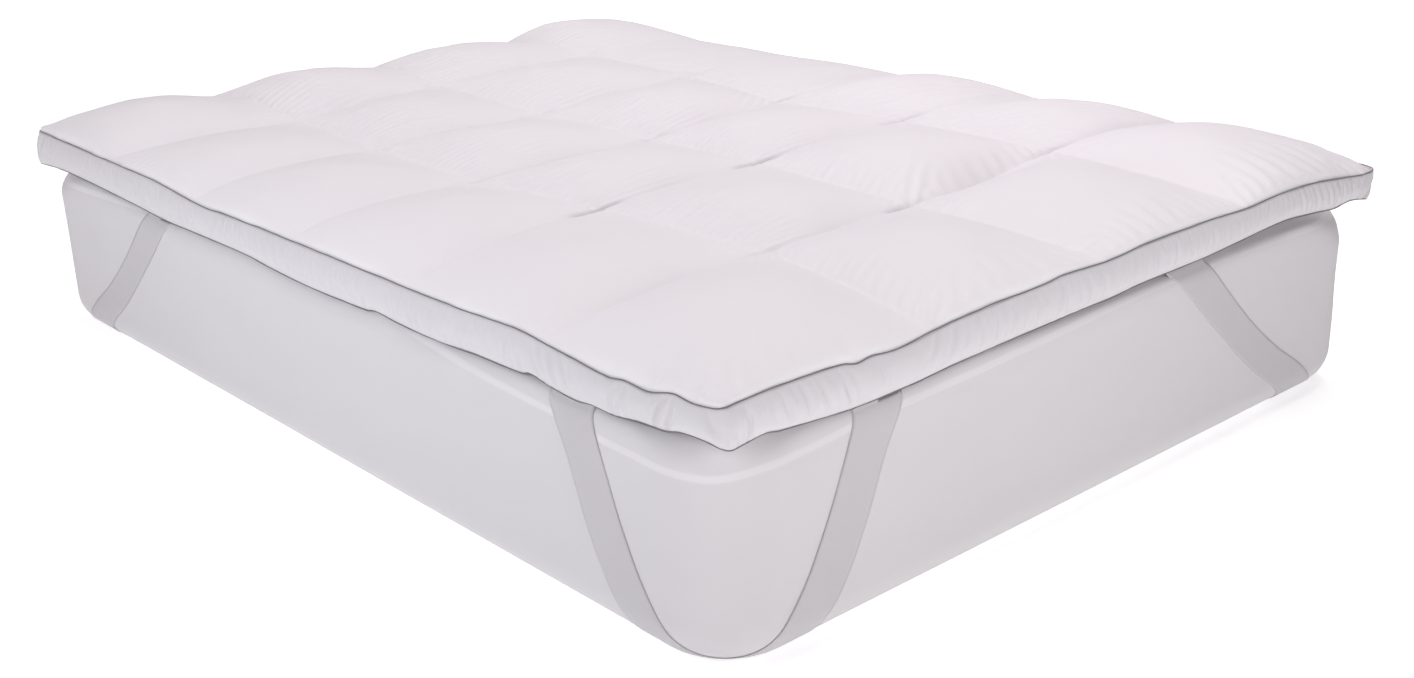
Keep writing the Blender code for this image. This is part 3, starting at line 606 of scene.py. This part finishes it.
def build_pad(mat):
    U, V = spaced(ACROSS, 48, 0.055), spaced(ALONG, 78, 0.03)
    uu, vv = np.meshgrid(U, V, indexing="ij")
    x, y, z = top_surface(uu, vv)
    # border: just behind the upper piping
    edge = (uu == 0) | (uu == ACROSS) | (vv == 0) | (vv == ALONG)
    rx, ry = round_corner(x, y)
    x, y = np.where(edge, rx, x), np.where(edge, ry, y)
    flat_x, flat_y = x, y
    px, py = corner_pull(x, y, UPPER_PULLS)
    x, y = x + px, y + py
    for mask, side, s in (((vv == 0), "foot", x + HALF_W), ((vv == ALONG), "head", x + HALF_W),
                          ((uu == 0), "left", y + HALF_L), ((uu == ACROSS), "right", y + HALF_L)):
        z = np.where(mask, seam(UPPER, side, s), z)
    nu, nv = x.shape
    co = np.stack([x, y, z], -1)
    rng = np.random.default_rng(7)
    seam_line = (np.abs(uu - np.round(uu)) < 1e-9) | (np.abs(vv - np.round(vv)) < 1e-9)
    iu = np.clip(np.floor(uu).astype(int), 0, ACROSS - 1)
    iv = np.clip(np.floor(vv).astype(int), 0, ALONG - 1)
    right_of, left_of = (uu - iu) * CELL_W, (1 - uu + iu) * CELL_W      # from the lengthwise seams
    beyond, before = (vv - iv) * CELL_L, (1 - vv + iv) * CELL_L         # from the crosswise seams

    # fullness: extra length along a seam close to it, which has to gather into puckers
    vary = np.clip(0.85 + 0.45 * field(5, x, y, 0.10, 2), 0.2, 1.6)
    share, reach = (np.array(GATHERED)[iv, iu, c] for c in range(2))
    along = share * near(right_of, reach)
    along = along + np.where(iu == ACROSS - 1, 0.040 * near(left_of, 0.10), 0.024 * near(left_of, 0.06))
    foot_full = np.interp(x, (-0.76, -0.4, 0.0, 0.3, 0.6, 0.76), (0.020, 0.025, 0.035, 0.060, 0.085, 0.075))
    across = (np.where(iv == 0, foot_full * near(beyond, 0.14), 0)
              + np.where((iv == 1) & (iu == 2), 0.036 * near(beyond, 0.09), 0)
              + np.where(iv == ALONG - 1, 0.030 * near(before, 0.10), 0))
    knots = np.zeros_like(x)
    stars = np.zeros_like(x)
    for i in range(1, ACROSS):
        for j in range(1, ALONG):
            cx, cy = plan(np.array(float(i)), np.array(float(j)))
            knots = knots + np.exp(-((x - cx)**2 + (y - cy)**2) / 0.065**2)
            stars = stars + star(60 + 7 * i + j, x, y, cx, cy, 0.075)
    for sx, sy in ((-1, -1), (1, -1), (-1, 1), (1, 1)):
        stars = stars + star(90 + 2 * sx + sy, x, y, sx * HALF_W, sy * HALF_L, 0.11)
        knots = knots + np.exp(-((x - sx * HALF_W)**2 + (y - sy * HALF_L)**2) / 0.09**2)
    along = along * vary + 0.020 * knots
    across = across * vary + 0.028 * knots
    # where the creases start
    run = np.zeros_like(x)
    for k in range(ACROSS):
        run = np.where(iu == k, field(41 + k, x * 0.11, y, 0.0110, 1), run)
    drop = field(47, x, y * 0.13, 0.017, 1)
    crease = run * (0.026 * share * fading(right_of, 0.5 * reach)
                    + np.where(iu == ACROSS - 1, 0.0014 * fading(left_of, 0.07), 0.0009 * fading(left_of, 0.05)))
    crease = crease * vary + drop * np.where(iv == 0, 0.045 * foot_full * fading(beyond, 0.12), 0) + 0.0016 * stars
    rest_u, rest_v = lengths(co)
    rest_u = rest_u * (1.0 + 0.5 * (across[1:] + across[:-1]))
    rest_v = rest_v * (1.0 + 0.5 * (along[:, 1:] + along[:, :-1]))
    co[..., 2] += np.where(seam_line, 0, crease + rng.normal(0, 0.0003, x.shape))
    top = cloth(co, seam_line, rest_u, rest_v, z, 500, bend=0.06, lift=0.025, sink=0.012, grip=0.05)
    quads = grid_faces(nu, nv)[:, ::-1]

    # sides and underside
    def ring_of(a):
        return np.concatenate([a[:-1, 0], a[-1, :-1], a[:0:-1, -1], a[0, :0:-1]])

    index = np.arange(nu * nv).reshape(nu, nv)
    ring = ring_of(index)
    rco = ring_of(top)
    bare = ring_of(np.stack([flat_x, flat_y], -1))
    n = len(ring)
    verts = [top.reshape(-1, 3)]
    faces = [quads]
    s_foot = bare[:, 0] + HALF_W
    s_side = bare[:, 1] + HALF_L
    low = np.empty(n)
    a, b, c = nu - 1, nu - 1 + nv - 1, 2 * (nu - 1) + nv - 1
    low[:a] = seam(LOWER, "foot", s_foot[:a])
    low[a:b] = seam(LOWER, "right", s_side[a:b])
    low[b:c] = seam(LOWER, "head", s_foot[b:c])
    low[c:] = seam(LOWER, "left", s_side[c:])
    rest = BED_H + FLOOR_GAP
    up_x, up_y = corner_pull(bare[:, 0], bare[:, 1], UPPER_PULLS)
    low_x, low_y = corner_pull(bare[:, 0], bare[:, 1], LOWER_PULLS)
    prev = ring
    start = nu * nv
    for inset, share in ((0.003, 0.25), (0.003, 0.75), (0.006, 1.0), (0.045, 2.0)):
        k = 1 - inset / HALF_W, 1 - inset / HALF_L
        t = min(share, 1.0)
        zz = rco[:, 2] * (1 - share) + (low + 0.001) * share if share <= 1 else np.full(n, rest)
        if share == 1.0:
            zz = low + 0.0015
        fade = 1.0 if share <= 1 else 0.0
        verts.append(np.stack([bare[:, 0] * k[0] + (up_x * (1 - t) + low_x * t) * fade,
                               bare[:, 1] * k[1] + (up_y * (1 - t) + low_y * t) * fade, zz], -1))
        cur = np.arange(start, start + n)
        start += n
        faces.append(np.stack([prev, cur, np.roll(cur, -1), np.roll(prev, -1)], -1))
        prev = cur
    ob = new_mesh("pad_quilt", np.concatenate(verts), np.concatenate(faces), extra=[prev[::-1]], material=mat)
    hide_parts("pad")
    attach(ob, "root")
    return ob


# ---------------------------------------------------------------- rim: gusset and pipings
def rim_path(step, r=0.012):
    """Points round the topper's outline: x, y, outward x, outward y, side, place along the side."""
    pts = []
    sides = (("foot", (-1, -1), (1, -1), (0, -1)), ("right", (1, -1), (1, 1), (1, 0)),
             ("head", (1, 1), (-1, 1), (0, 1)), ("left", (-1, 1), (-1, -1), (-1, 0)))
    for k, (side, a, b, out) in enumerate(sides):
        ax, ay, bx, by = a[0] * HALF_W, a[1] * HALF_L, b[0] * HALF_W, b[1] * HALF_L
        length = math.hypot(bx - ax, by - ay)
        dx, dy = (bx - ax) / length, (by - ay) / length
        n = int(round((length - 2 * r) / step))
        for i in range(n + 1):
            t = r + (length - 2 * r) * i / n
            x, y = ax + dx * t, ay + dy * t
            s = (x + HALF_W) if side in ("foot", "head") else (y + HALF_L)
            pts.append((x, y, out[0], out[1], k, s))
        nxt = sides[(k + 1) % 4][3]
        cx, cy = bx - dx * r - out[0] * r, by - dy * r - out[1] * r
        arcs = 5
        for i in range(1, arcs):
            a0 = math.pi / 2 * i / arcs
            ox = out[0] * math.cos(a0) + nxt[0] * math.sin(a0)
            oy = out[1] * math.cos(a0) + nxt[1] * math.sin(a0)
            x, y = cx + ox * r, cy + oy * r
            kk = k if i < arcs / 2 else (k + 1) % 4
            name = sides[kk][0]
            s = (x + HALF_W) if name in ("foot", "head") else (y + HALF_L)
            pts.append((x, y, ox, oy, kk, s))
    return np.array(pts)


SIDE_NAMES = ("foot", "right", "head", "left")


def rim_heights(path, which):
    z = np.empty(len(path))
    for k, side in enumerate(SIDE_NAMES):
        m = path[:, 4] == k
        z[m] = seam(which, side, path[m, 5])
    return z


def build_gusset(mat):
    step = 0.0033
    path = rim_path(step)
    n = len(path)
    arc = np.concatenate([[0], np.cumsum(np.hypot(np.diff(path[:, 0]), np.diff(path[:, 1])))])
    total = arc[-1] + step
    rows = 17
    w = np.linspace(0, 1, rows)
    up, low = rim_heights(path, UPPER) - 0.0006, rim_heights(path, LOWER) + 0.0006
    up_x, up_y = corner_pull(path[:, 0], path[:, 1], UPPER_PULLS)
    low_x, low_y = corner_pull(path[:, 0], path[:, 1], LOWER_PULLS)
    rng = np.random.default_rng(11)
    # a flat fold of cloth lies above the lower seam for most of the foot side
    lip = np.where(path[:, 4] == 0, smoothstep(-0.73, -0.64, path[:, 0])
                   * (1 - smoothstep(0.26, 0.40, path[:, 0])), 0)
    co = np.empty((rows, n, 3))
    for i, t in enumerate(w):
        off = 0.0010 + 0.0036 * math.sin(math.pi * t)**0.8
        wob = 0.0010 * math.sin(math.pi * t) * wavy(20 + i // 4, arc, 0.05, 2, total)
        out = off + wob + lip * (0.0022 * math.exp(-((t - 0.90) / 0.07)**2) * (t < 1)
                                 - 0.0030 * math.exp(-((t - 0.76) / 0.05)**2))
        co[i, :, 0] = path[:, 0] + path[:, 2] * out + up_x * (1 - t) + low_x * t
        co[i, :, 1] = path[:, 1] + path[:, 3] * out + up_y * (1 - t) + low_y * t
        co[i, :, 2] = up * (1 - t) + low * t
    held = np.zeros((rows, n), bool)
    held[0] = held[-1] = True
    outer = co
    # closed band: run with overlapping ends and keep the middle
    lap = 24

    def wrapped(a):
        return np.concatenate([a[:, -lap:], a, a[:, :lap]], 1)

    wide = wrapped(co)
    rest_u, rest_v = lengths(wide)
    # creases: mostly upright, some slanted, closer together in places and crowded at the corner
    W, A = np.meshgrid(w * 0.065, arc, indexing="ij")
    slant = 0.9 * wavy(31, arc, 0.22, 2, total)[None, :]
    fine = field(12, A + slant * W, W * 0.30, 0.0072, 2)
    broad = field(13, A - 0.6 * slant * W, W * 0.5, 0.019, 2)
    busy = np.clip(0.60 + 0.75 * wavy(32, arc, 0.11, 3, total), 0.08, 1.7)
    corners = np.zeros(n)
    for sx, sy in ((-1, -1), (1, -1), (-1, 1), (1, 1)):
        corners += np.exp(-((path[:, 0] - sx * HALF_W)**2 + (path[:, 1] - sy * HALF_L)**2) / 0.07**2)
    quiet = 1 - 0.85 * lip[None, :] * smoothstep(0.78, 0.86, w)[:, None]
    start_off = (0.0011 * fine * busy[None, :] + 0.0011 * broad) * np.sin(np.pi * w)[:, None]**0.6 * quiet
    start_off = start_off + rng.normal(0, 0.00018, (rows, n)) * (~held)
    start_off = start_off * (1 + 0.8 * corners[None, :])
    start = co + np.stack([path[None, :, 2] * start_off, path[None, :, 3] * start_off, 0 * start_off], -1)
    gather = 1.012 + (0.060 * busy + 0.050 * corners)[None, :] * (0.35 + 0.65 * np.sin(np.pi * w)[:, None]) * quiet
    gather = wrapped(gather)
    rest_v = rest_v * 0.5 * (gather[:, 1:] + gather[:, :-1])
    got = cloth(wrapped(start), wrapped(held), rest_u * 1.022, rest_v, None, 260, bend=0.02, push=0.000006)
    outer = got[:, lap:-lap]
    # its back, a little inside
    normal = np.zeros_like(outer)
    normal[..., 0], normal[..., 1] = path[None, :, 2], path[None, :, 3]
    inner = outer - normal * 0.0012
    verts = np.concatenate([outer.reshape(-1, 3), inner.reshape(-1, 3)])
    m = rows * n
    f_out = grid_faces(rows, n, close_cols=True)
    f_in = grid_faces(rows, n, close_cols=True, start=m)[:, ::-1]
    a = np.arange(n)
    b = np.roll(a, -1)
    top = np.stack([a, a + m, b + m, b], -1)[:, ::-1]
    k = (rows - 1) * n
    bot = np.stack([a + k, a + k + m, b + k + m, b + k], -1)
    ob = new_mesh("gusset_cloth", verts, np.concatenate([f_out[:, ::-1], f_in[:, ::-1], top, bot]), material=mat)
    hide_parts("gusset")
    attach(ob, "root")
    return ob


def build_piping(name, node, which, pulls, mat, seed):
    path = rim_path(0.006)
    arc = np.concatenate([[0], np.cumsum(np.hypot(np.diff(path[:, 0]), np.diff(path[:, 1])))])
    total = arc[-1] + 0.006
    z = rim_heights(path, which) + 0.0007 * wavy(seed, arc, 0.045, 2, total)
    off = 0.0012 + 0.0005 * wavy(seed + 1, arc, 0.06, 2, total)
    px, py = corner_pull(path[:, 0], path[:, 1], pulls)
    p = np.stack([path[:, 0] + path[:, 2] * off + px, path[:, 1] + path[:, 3] * off + py, z], -1)
    ahead = np.roll(p, -1, 0) - np.roll(p, 1, 0)
    ahead /= np.linalg.norm(ahead, axis=1)[:, None]
    out = np.stack([path[:, 2], path[:, 3], np.zeros(len(p))], -1)
    out -= ahead * (out * ahead).sum(1)[:, None]
    out /= np.linalg.norm(out, axis=1)[:, None]
    upv = np.cross(ahead, out)
    sides = 10
    rings = []
    for k in range(sides):
        a = 2 * math.pi * k / sides
        rings.append(p + PIPING_R * (math.cos(a) * out + math.sin(a) * upv))
    verts = np.stack(rings, 0)        # sides x n x 3
    n = len(p)
    idx = np.arange(sides * n).reshape(sides, n)
    idx = np.concatenate([idx, idx[:1]], 0)
    idx = np.concatenate([idx, idx[:, :1]], 1)
    quads = np.stack([idx[:-1, :-1], idx[:-1, 1:], idx[1:, 1:], idx[1:, :-1]], -1).reshape(-1, 4)
    ob = new_mesh(name, verts, quads, material=mat)
    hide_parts(node)
    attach(ob, "root")
    return ob


# ---------------------------------------------------------------- mattress and straps
def bed_outline(inset, step=0.012):
    """The mattress's outline drawn in by `inset`: x, y, outward direction, with fixed counts."""
    hw, hl, r0 = BED_W / 2, BED_L / 2, BED_CORNER
    r = max(r0 - inset, 0.0005)
    pts = []
    n_x, n_y, n_c = int((BED_W - 2 * r0) / step), int((BED_L - 2 * r0) / step), 18
    for (cx, cy), a0, n in (((1, -1), -90, n_x), ((1, 1), 0, n_y), ((-1, 1), 90, n_x), ((-1, -1), 180, n_y)):
        mx, my = cx * (hw - r0), cy * (hl - r0)
        d = math.radians(a0)
        tx, ty = -math.sin(d), math.cos(d)      # direction of travel before the corner
        ox, oy = math.cos(d), math.sin(d)
        for i in range(n):
            back = (1 - i / n) * (BED_W - 2 * r0 if n == n_x and a0 in (-90, 90) else BED_L - 2 * r0)
            pts.append((mx + ox * r - tx * back, my + oy * r - ty * back, ox, oy))
        for i in range(n_c):
            a = d + math.pi / 2 * i / n_c
            pts.append((mx + math.cos(a) * r, my + math.sin(a) * r, math.cos(a), math.sin(a)))
    return np.array(pts)


SQUARE = np.linspace(1.5, 6.0, 46)
ROUND_STEPS = 80


def shoulder_table():
    """Section of the mattress's shoulder, from its upright face to its top, for each squareness."""
    t = np.linspace(0, math.pi / 2, 600)
    rows = []
    for n in SQUARE:
        inset, up = 1 - np.cos(t)**(2 / n), np.sin(t)**(2 / n)
        inset[-1], up[-1] = 1.0, 1.0
        way = np.concatenate([[0], np.cumsum(np.hypot(np.diff(inset), np.diff(up)))])
        at = np.linspace(0, way[-1], ROUND_STEPS)
        rows.append(np.stack([np.interp(at, way, inset), np.interp(at, way, up)], -1))
    return np.array(rows)


SHOULDER = shoulder_table()


def on_shoulder(square, part):
    """Inset and height, as shares of the shoulder's size, at a part of its length, 0 to 1."""
    a = np.clip((square - SQUARE[0]) / (SQUARE[1] - SQUARE[0]), 0, len(SQUARE) - 1.001)
    b = np.clip(part, 0, 1) * (ROUND_STEPS - 1.001)
    i, j = np.floor(a).astype(int), np.floor(b).astype(int)
    fa, fb = (a - i)[..., None], (b - j)[..., None]
    s = SHOULDER
    return ((s[i, j] * (1 - fa) + s[i + 1, j] * fa) * (1 - fb)
            + (s[i, j + 1] * (1 - fa) + s[i + 1, j + 1] * fa) * fb)


def squareness(x, y):
    """How square the shoulder is at a place on the outline: it swells up under the lower piping."""
    dx, dy = BED_W / 2 - np.abs(x), BED_L / 2 - np.abs(y)
    on_side = dx < dy
    sy, sx = np.clip(y + HALF_L, 0, PAD_L), np.clip(x + HALF_W, 0, PAD_W)
    low = np.where(on_side, np.where(x < 0, seam(LOWER, "left", sy), seam(LOWER, "right", sy)),
                   np.where(y < 0, seam(LOWER, "foot", sx), seam(LOWER, "head", sx)))
    inset = np.where(on_side, BED_W / 2 - HALF_W, BED_L / 2 - HALF_L) + 0.0010
    up = np.clip((low - 0.0030 - (BED_H - BED_TOP_R)) / BED_TOP_R, 0.30, 0.93)
    n = np.full_like(up, 2.0)
    for _ in range(40):
        h = np.maximum(1 - (1 - inset / BED_TOP_R)**n, 1e-6)**(1 / n)
        n = np.clip(n + 4.0 * (up - h), SQUARE[0], SQUARE[-1] - 0.2)
    # rounder towards the corners
    away = np.hypot(np.abs(x) - BED_W / 2, np.abs(y) - BED_L / 2)
    calm = smoothstep(0.10, 0.24, away)
    return np.where((x < 0) & (y < 0), 2.9, 1.75) * (1 - calm) + n * calm


def shoulder_height(x, y):
    """Height of the shoulder: it is longer at the corners."""
    away = np.hypot(np.abs(x) - BED_W / 2, np.abs(y) - BED_L / 2)
    return BED_TOP_R + np.where(x > 0, 0.022, 0.006) * (1 - smoothstep(0.06, 0.22, away))


def unevenness(x, y, z):
    """The ticking's slight swells, measured outwards."""
    fade = np.clip(z / 0.06, 0, 1) * np.clip((BED_H - z) / 0.03, 0.0, 1)
    big = 0.0011 * field(3, x + 0.7 * y, z + 0.2 * y, 0.16, 2)
    small = 0.0005 * field(4, x - y, z * 2.2, 0.055, 2) * smoothstep(0.24, 0.29, z)
    return (big + small) * fade


def tape_lift(x, y, z):
    """How far the taped edge stands out; the straps press it flat."""
    d = z - taped_edge(x, y)
    stand = np.where(d > 0, np.clip(1 - d / 0.0095, 0, 1), np.exp(-(d / 0.055)**2))
    dx, dy = BED_W / 2 - np.abs(x), BED_L / 2 - np.abs(y)
    s = np.maximum(dx, dy)
    near_edge = np.where((x < 0) & (y < 0), 0.228, 0.450)
    under = smoothstep(near_edge - 0.012, near_edge, s) * (1 - smoothstep(near_edge + 0.098, near_edge + 0.110, s))
    return 0.0008 * stand * (1 - under)


def taped_edge(x, y):
    dx, dy = BED_W / 2 - np.abs(x), BED_L / 2 - np.abs(y)
    sy, sx = y + BED_L / 2, x + BED_W / 2
    on_x = np.where(x < 0, through(TAPE["left"], sy)[..., 0], through(TAPE["right"], sy)[..., 0])
    on_y = np.where(y < 0, through(TAPE["foot"], sx)[..., 0], through(TAPE["head"], sx)[..., 0])
    w = smoothstep(-0.03, 0.03, dx - dy)
    return on_x * (1 - w) + on_y * w


def build_mattress(mat):
    base = bed_outline(0.0)
    x, y, nx, ny = base.T
    square, tall = squareness(x, y), shoulder_height(x, y)
    rings = []

    def ring(px, py, pz):
        rings.append(np.stack([px, py, np.broadcast_to(pz, px.shape)], -1))

    def drawn_in(inset, z):
        p = bed_outline(BED_CORNER - 0.0005)
        ring(p[:, 0] * (BED_W / 2 - inset) / (BED_W / 2 - BED_CORNER),
             p[:, 1] * (BED_L / 2 - inset) / (BED_L / 2 - BED_CORNER), z)

    for inset in (0.60, 0.40, 0.25, 0.15):
        drawn_in(inset, 0.0)
    for inset in (0.10, 0.08):
        ring(x - nx * inset, y - ny * inset, 0.0)
    for i in range(12):
        a = math.pi / 2 * i / 12
        inset, z = BED_BOTTOM_R * (1 - math.sin(a)), BED_BOTTOM_R * (1 - math.cos(a))
        soft = unevenness(x, y, np.full_like(x, z))
        ring(x - nx * (inset - soft), y - ny * (inset - soft), z)
    foot_of_shoulder = BED_H - tall
    for share in np.concatenate([np.linspace(0, 0.85, 18, endpoint=False), np.linspace(0.85, 1, 15, endpoint=False)]):
        z = BED_BOTTOM_R + (foot_of_shoulder - BED_BOTTOM_R) * share
        soft = unevenness(x, y, z) + tape_lift(x, y, z)
        ring(x + nx * soft, y + ny * soft, z)
    rows = 44
    for i in range(rows + 1):
        part = np.full_like(x, i / rows)
        here, ahead = on_shoulder(square, part), on_shoulder(square, part + 0.01)
        behind = on_shoulder(square, part - 0.01)
        d_in, d_up = (ahead - behind)[:, 0] * BED_TOP_R, (ahead - behind)[:, 1] * tall
        size = np.hypot(d_in, d_up) + 1e-12
        out, up = d_up / size, d_in / size
        z = BED_H - tall + here[:, 1] * tall
        lift = unevenness(x, y, z) + tape_lift(x, y, z) * (part < 0.93)
        inset = here[:, 0] * BED_TOP_R - lift * out
        ring(x - nx * inset, y - ny * inset, z + lift * up)
    for inset in (0.07, 0.10):
        ring(x - nx * inset, y - ny * inset, BED_H)
    for inset in (0.15, 0.25, 0.40, 0.60):
        drawn_in(inset, BED_H)
    verts = np.stack(rings, 0)
    n = verts.shape[1]
    quads = grid_faces(len(rings), n, close_cols=True)
    last = (len(rings) - 1) * n
    ob = new_mesh("mattress_body", verts, quads,
                  extra=[list(range(n))[::-1], list(range(last, last + n))], material=mat)
    px, py, pz = verts.reshape(-1, 3).T
    # band on and just above the tape that the ticking shows paler: partly the tape's own colour, partly a painted
    # highlight where the band catches the light
    above = pz - taped_edge(px, py)
    band = smoothstep(-0.0020, 0.0012, above) * (1 - smoothstep(0.0080, 0.0112, above))
    ob.data.attributes.new("tape_and_painted_highlight", "FLOAT", "POINT").data.foreach_set("value", band.astype(np.float32))
    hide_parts("mattress")
    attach(ob, "root")
    return ob


def around_bed(u, v, z, off):
    plate = BED_CORNER - BED_BOTTOM_R
    qu, qv = np.maximum(BED_CORNER - u, 0), np.maximum(BED_CORNER - v, 0)
    q = np.hypot(qu, qv)
    d2, dz = np.maximum(q - plate, 0), np.maximum(BED_BOTTOM_R - z, 0)
    dist = np.hypot(d2, dz)
    k = (BED_BOTTOM_R + off) / np.maximum(dist, 1e-9)
    nu, nv = qu / np.maximum(q, 1e-9), qv / np.maximum(q, 1e-9)
    ok = dist > 1e-9
    u2 = np.where(ok & (d2 > 0), u - nu * d2 * (k - 1), u)
    v2 = np.where(ok & (d2 > 0), v - nv * d2 * (k - 1), v)
    z2 = np.where(ok & (dz > 0), BED_BOTTOM_R - dz * k, z)
    return u2, v2, z2


def build_strap(name, sx, sy, table, mat):
    cols = np.linspace(0, 1, 15)

    def leg(along_x, which_side, to_s):
        """One leg: rows of (from the face, from the corner, height) for its back and its front."""
        half = (BED_W if along_x else BED_L) / 2
        half_s = (BED_L if along_x else BED_W) / 2
        end_in = half - (HALF_W if along_x else HALF_L) + 0.0020

        def place(s):
            if along_x:
                return np.full_like(s, sx * half), sy * (half_s - s)
            return sx * (half_s - s), np.full_like(s, sy * half)

        def edges(down):
            near_edge, far_edge = through(table, down)
            return near_edge + (far_edge - near_edge) * cols

        rows = []
        s0 = edges(-0.060)
        low = seam(LOWER, which_side, to_s(s0))
        rows.append((np.full_like(s0, end_in + STRAP_T / 2), s0, low - 0.0004,
                     np.full_like(s0, end_in - STRAP_T / 2), s0, low - 0.0004))
        px, py = place(s0)
        square, tall = squareness(px, py), shoulder_height(px, py)
        # where on the shoulder the strap comes to lie: just outside the piping
        parts = np.linspace(0, 1, 200)
        start = np.array([np.interp(end_in + 0.001, on_shoulder(np.full(200, q), parts)[:, 0] * BED_TOP_R, parts)
                          for q in square])
        for k in (1.0, 0.82, 0.64, 0.46, 0.28, 0.12, 0.0):
            part = start * k
            here, ahead = on_shoulder(square, part), on_shoulder(square, part + 0.01)
            behind = on_shoulder(square, part - 0.01)
            d_in, d_up = (ahead - behind)[:, 0] * BED_TOP_R, (ahead - behind)[:, 1] * tall
            size = np.hypot(d_in, d_up) + 1e-12
            out, up = d_up / size, d_in / size
            z = BED_H - tall + here[:, 1] * tall
            s = edges(float(np.mean(BED_H - BED_TOP_R - z)))
            pair = []
            for off in (STRAP_CLEAR, STRAP_CLEAR + STRAP_T):
                lift = unevenness(*place(s), z) + off
                pair += [here[:, 0] * BED_TOP_R - lift * out, s, z + lift * up]
            rows.append(tuple(pair))
        top = float(np.mean(BED_H - tall))
        straight = BED_H - BED_TOP_R - BED_BOTTOM_R
        guides = [(BED_H - BED_TOP_R - zz, 0.0, zz) for zz in np.linspace(top, BED_BOTTOM_R, 26)[1:]]
        for angle in range(85, -1, -5):
            a = math.radians(angle)
            guides.append((straight + BED_BOTTOM_R * (math.pi / 2 - a), BED_BOTTOM_R * (1 - math.sin(a)),
                           BED_BOTTOM_R * (1 - math.cos(a))))
        for down, inward, z in guides:
            s = edges(down)
            rows.append(wrap(np.full_like(s, inward), s, np.full_like(s, z),
                             unevenness(*place(s), np.full_like(s, z))))
        return rows

    def wrap(u, v, z, soft=0.0):
        a = around_bed(u, v, z, STRAP_CLEAR + soft)
        b = around_bed(u, v, z, STRAP_CLEAR + STRAP_T + soft)
        return (a[0], a[1], np.maximum(a[2], FLOOR_GAP + STRAP_T), b[0], b[1], np.maximum(b[2], FLOOR_GAP))

    side_x = "left" if sx < 0 else "right"
    side_y = "foot" if sy < 0 else "head"
    leg_x = leg(True, side_x, lambda s: sy * (BED_L / 2 - s) + HALF_L)
    leg_y = leg(False, side_y, lambda s: sx * (BED_W / 2 - s) + HALF_W)
    leg_y = [(r[1], r[0], r[2], r[4], r[3], r[5]) for r in leg_y]
    near_edge, far_edge = through(table, 10.0)
    under = []
    for t in (0.1, 0.2, 0.3, 0.4, 0.5, 0.6, 0.7, 0.8, 0.9):
        a, b = BED_BOTTOM_R, near_edge + (far_edge - near_edge) * cols
        under.append(wrap(a + (b - a) * t, b + (a - b) * t, np.zeros_like(cols)))
    rows = leg_x + under + leg_y[::-1]
    grid = np.array([np.stack([np.stack(r[0:3], -1), np.stack(r[3:6], -1)], 0) for r in rows])  # rows x 2 x cols x 3
    grid[..., 0] = sx * (BED_W / 2 - grid[..., 0])
    grid[..., 1] = sy * (BED_L / 2 - grid[..., 1])
    nr, nc = len(rows), len(cols)
    inner, outer = grid[:, 0], grid[:, 1]
    verts = np.concatenate([inner.reshape(-1, 3), outer.reshape(-1, 3)])
    m = nr * nc
    fi = grid_faces(nr, nc)
    fo = grid_faces(nr, nc, start=m)[:, ::-1]
    idx = np.arange(m).reshape(nr, nc)
    e = []
    for line in (idx[:, 0], idx[:, -1][::-1], idx[0][::-1], idx[-1]):
        a, b = line[:-1], line[1:]
        e.append(np.stack([a, b, b + m, a + m], -1))
    quads = np.concatenate([fi, fo] + e)
    if sx * sy > 0:
        quads = quads[:, ::-1]
    ob = new_mesh(name.replace("strap", "elastic"), verts, quads, material=mat)
    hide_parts(name)
    # its own length, from the sewn end to the other
    mid = outer[:, nc // 2]
    length = float(np.linalg.norm(np.diff(mid, axis=0), axis=1).sum())
    return ob, length


def build_straps(mat):
    for name, sx, sy, table in STRAPS:
        ob, length = build_strap(name, sx, sy, table, mat)
        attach(ob, "root")


# ---------------------------------------------------------------- all of it
make_camera()
make_light()
make_floor()

white = cloth_material("quilted_cotton_look", (0.80, 0.785, 0.80), weave=700, weave_bump=0.10)
# the side cloth's darker colour than the top's is painted shade for the upright sides, which get less light
side = cloth_material("side_cotton_painted_shade", (0.605, 0.592, 0.612), weave=700, weave_bump=0.10, crumple=0.30)
cord_mat = cloth_material("grey_piping_look", (0.19, 0.185, 0.19), roughness=0.8, weave=500, weave_bump=0.4)
elastic = cloth_material("flat_elastic_look", (0.535, 0.520, 0.535), roughness=0.8, weave=500, weave_bump=0.35)
ticking = cloth_material("mattress_ticking_look", (0.592, 0.579, 0.592), weave=450, weave_bump=0.12)

# paler band along the tape: partly the tape's own colour, partly a painted highlight where the band catches the light
paler_where(ticking, "tape_and_painted_highlight", (0.665, 0.650, 0.665))
build_mattress(ticking)
build_pad(white)
build_gusset(side)
build_piping("piping_upper_cord", "piping_upper", UPPER, UPPER_PULLS, cord_mat, 31)
build_piping("piping_lower_cord", "piping_lower", LOWER, LOWER_PULLS, cord_mat, 41)
build_straps(elastic)

bpy.context.view_layer.update()
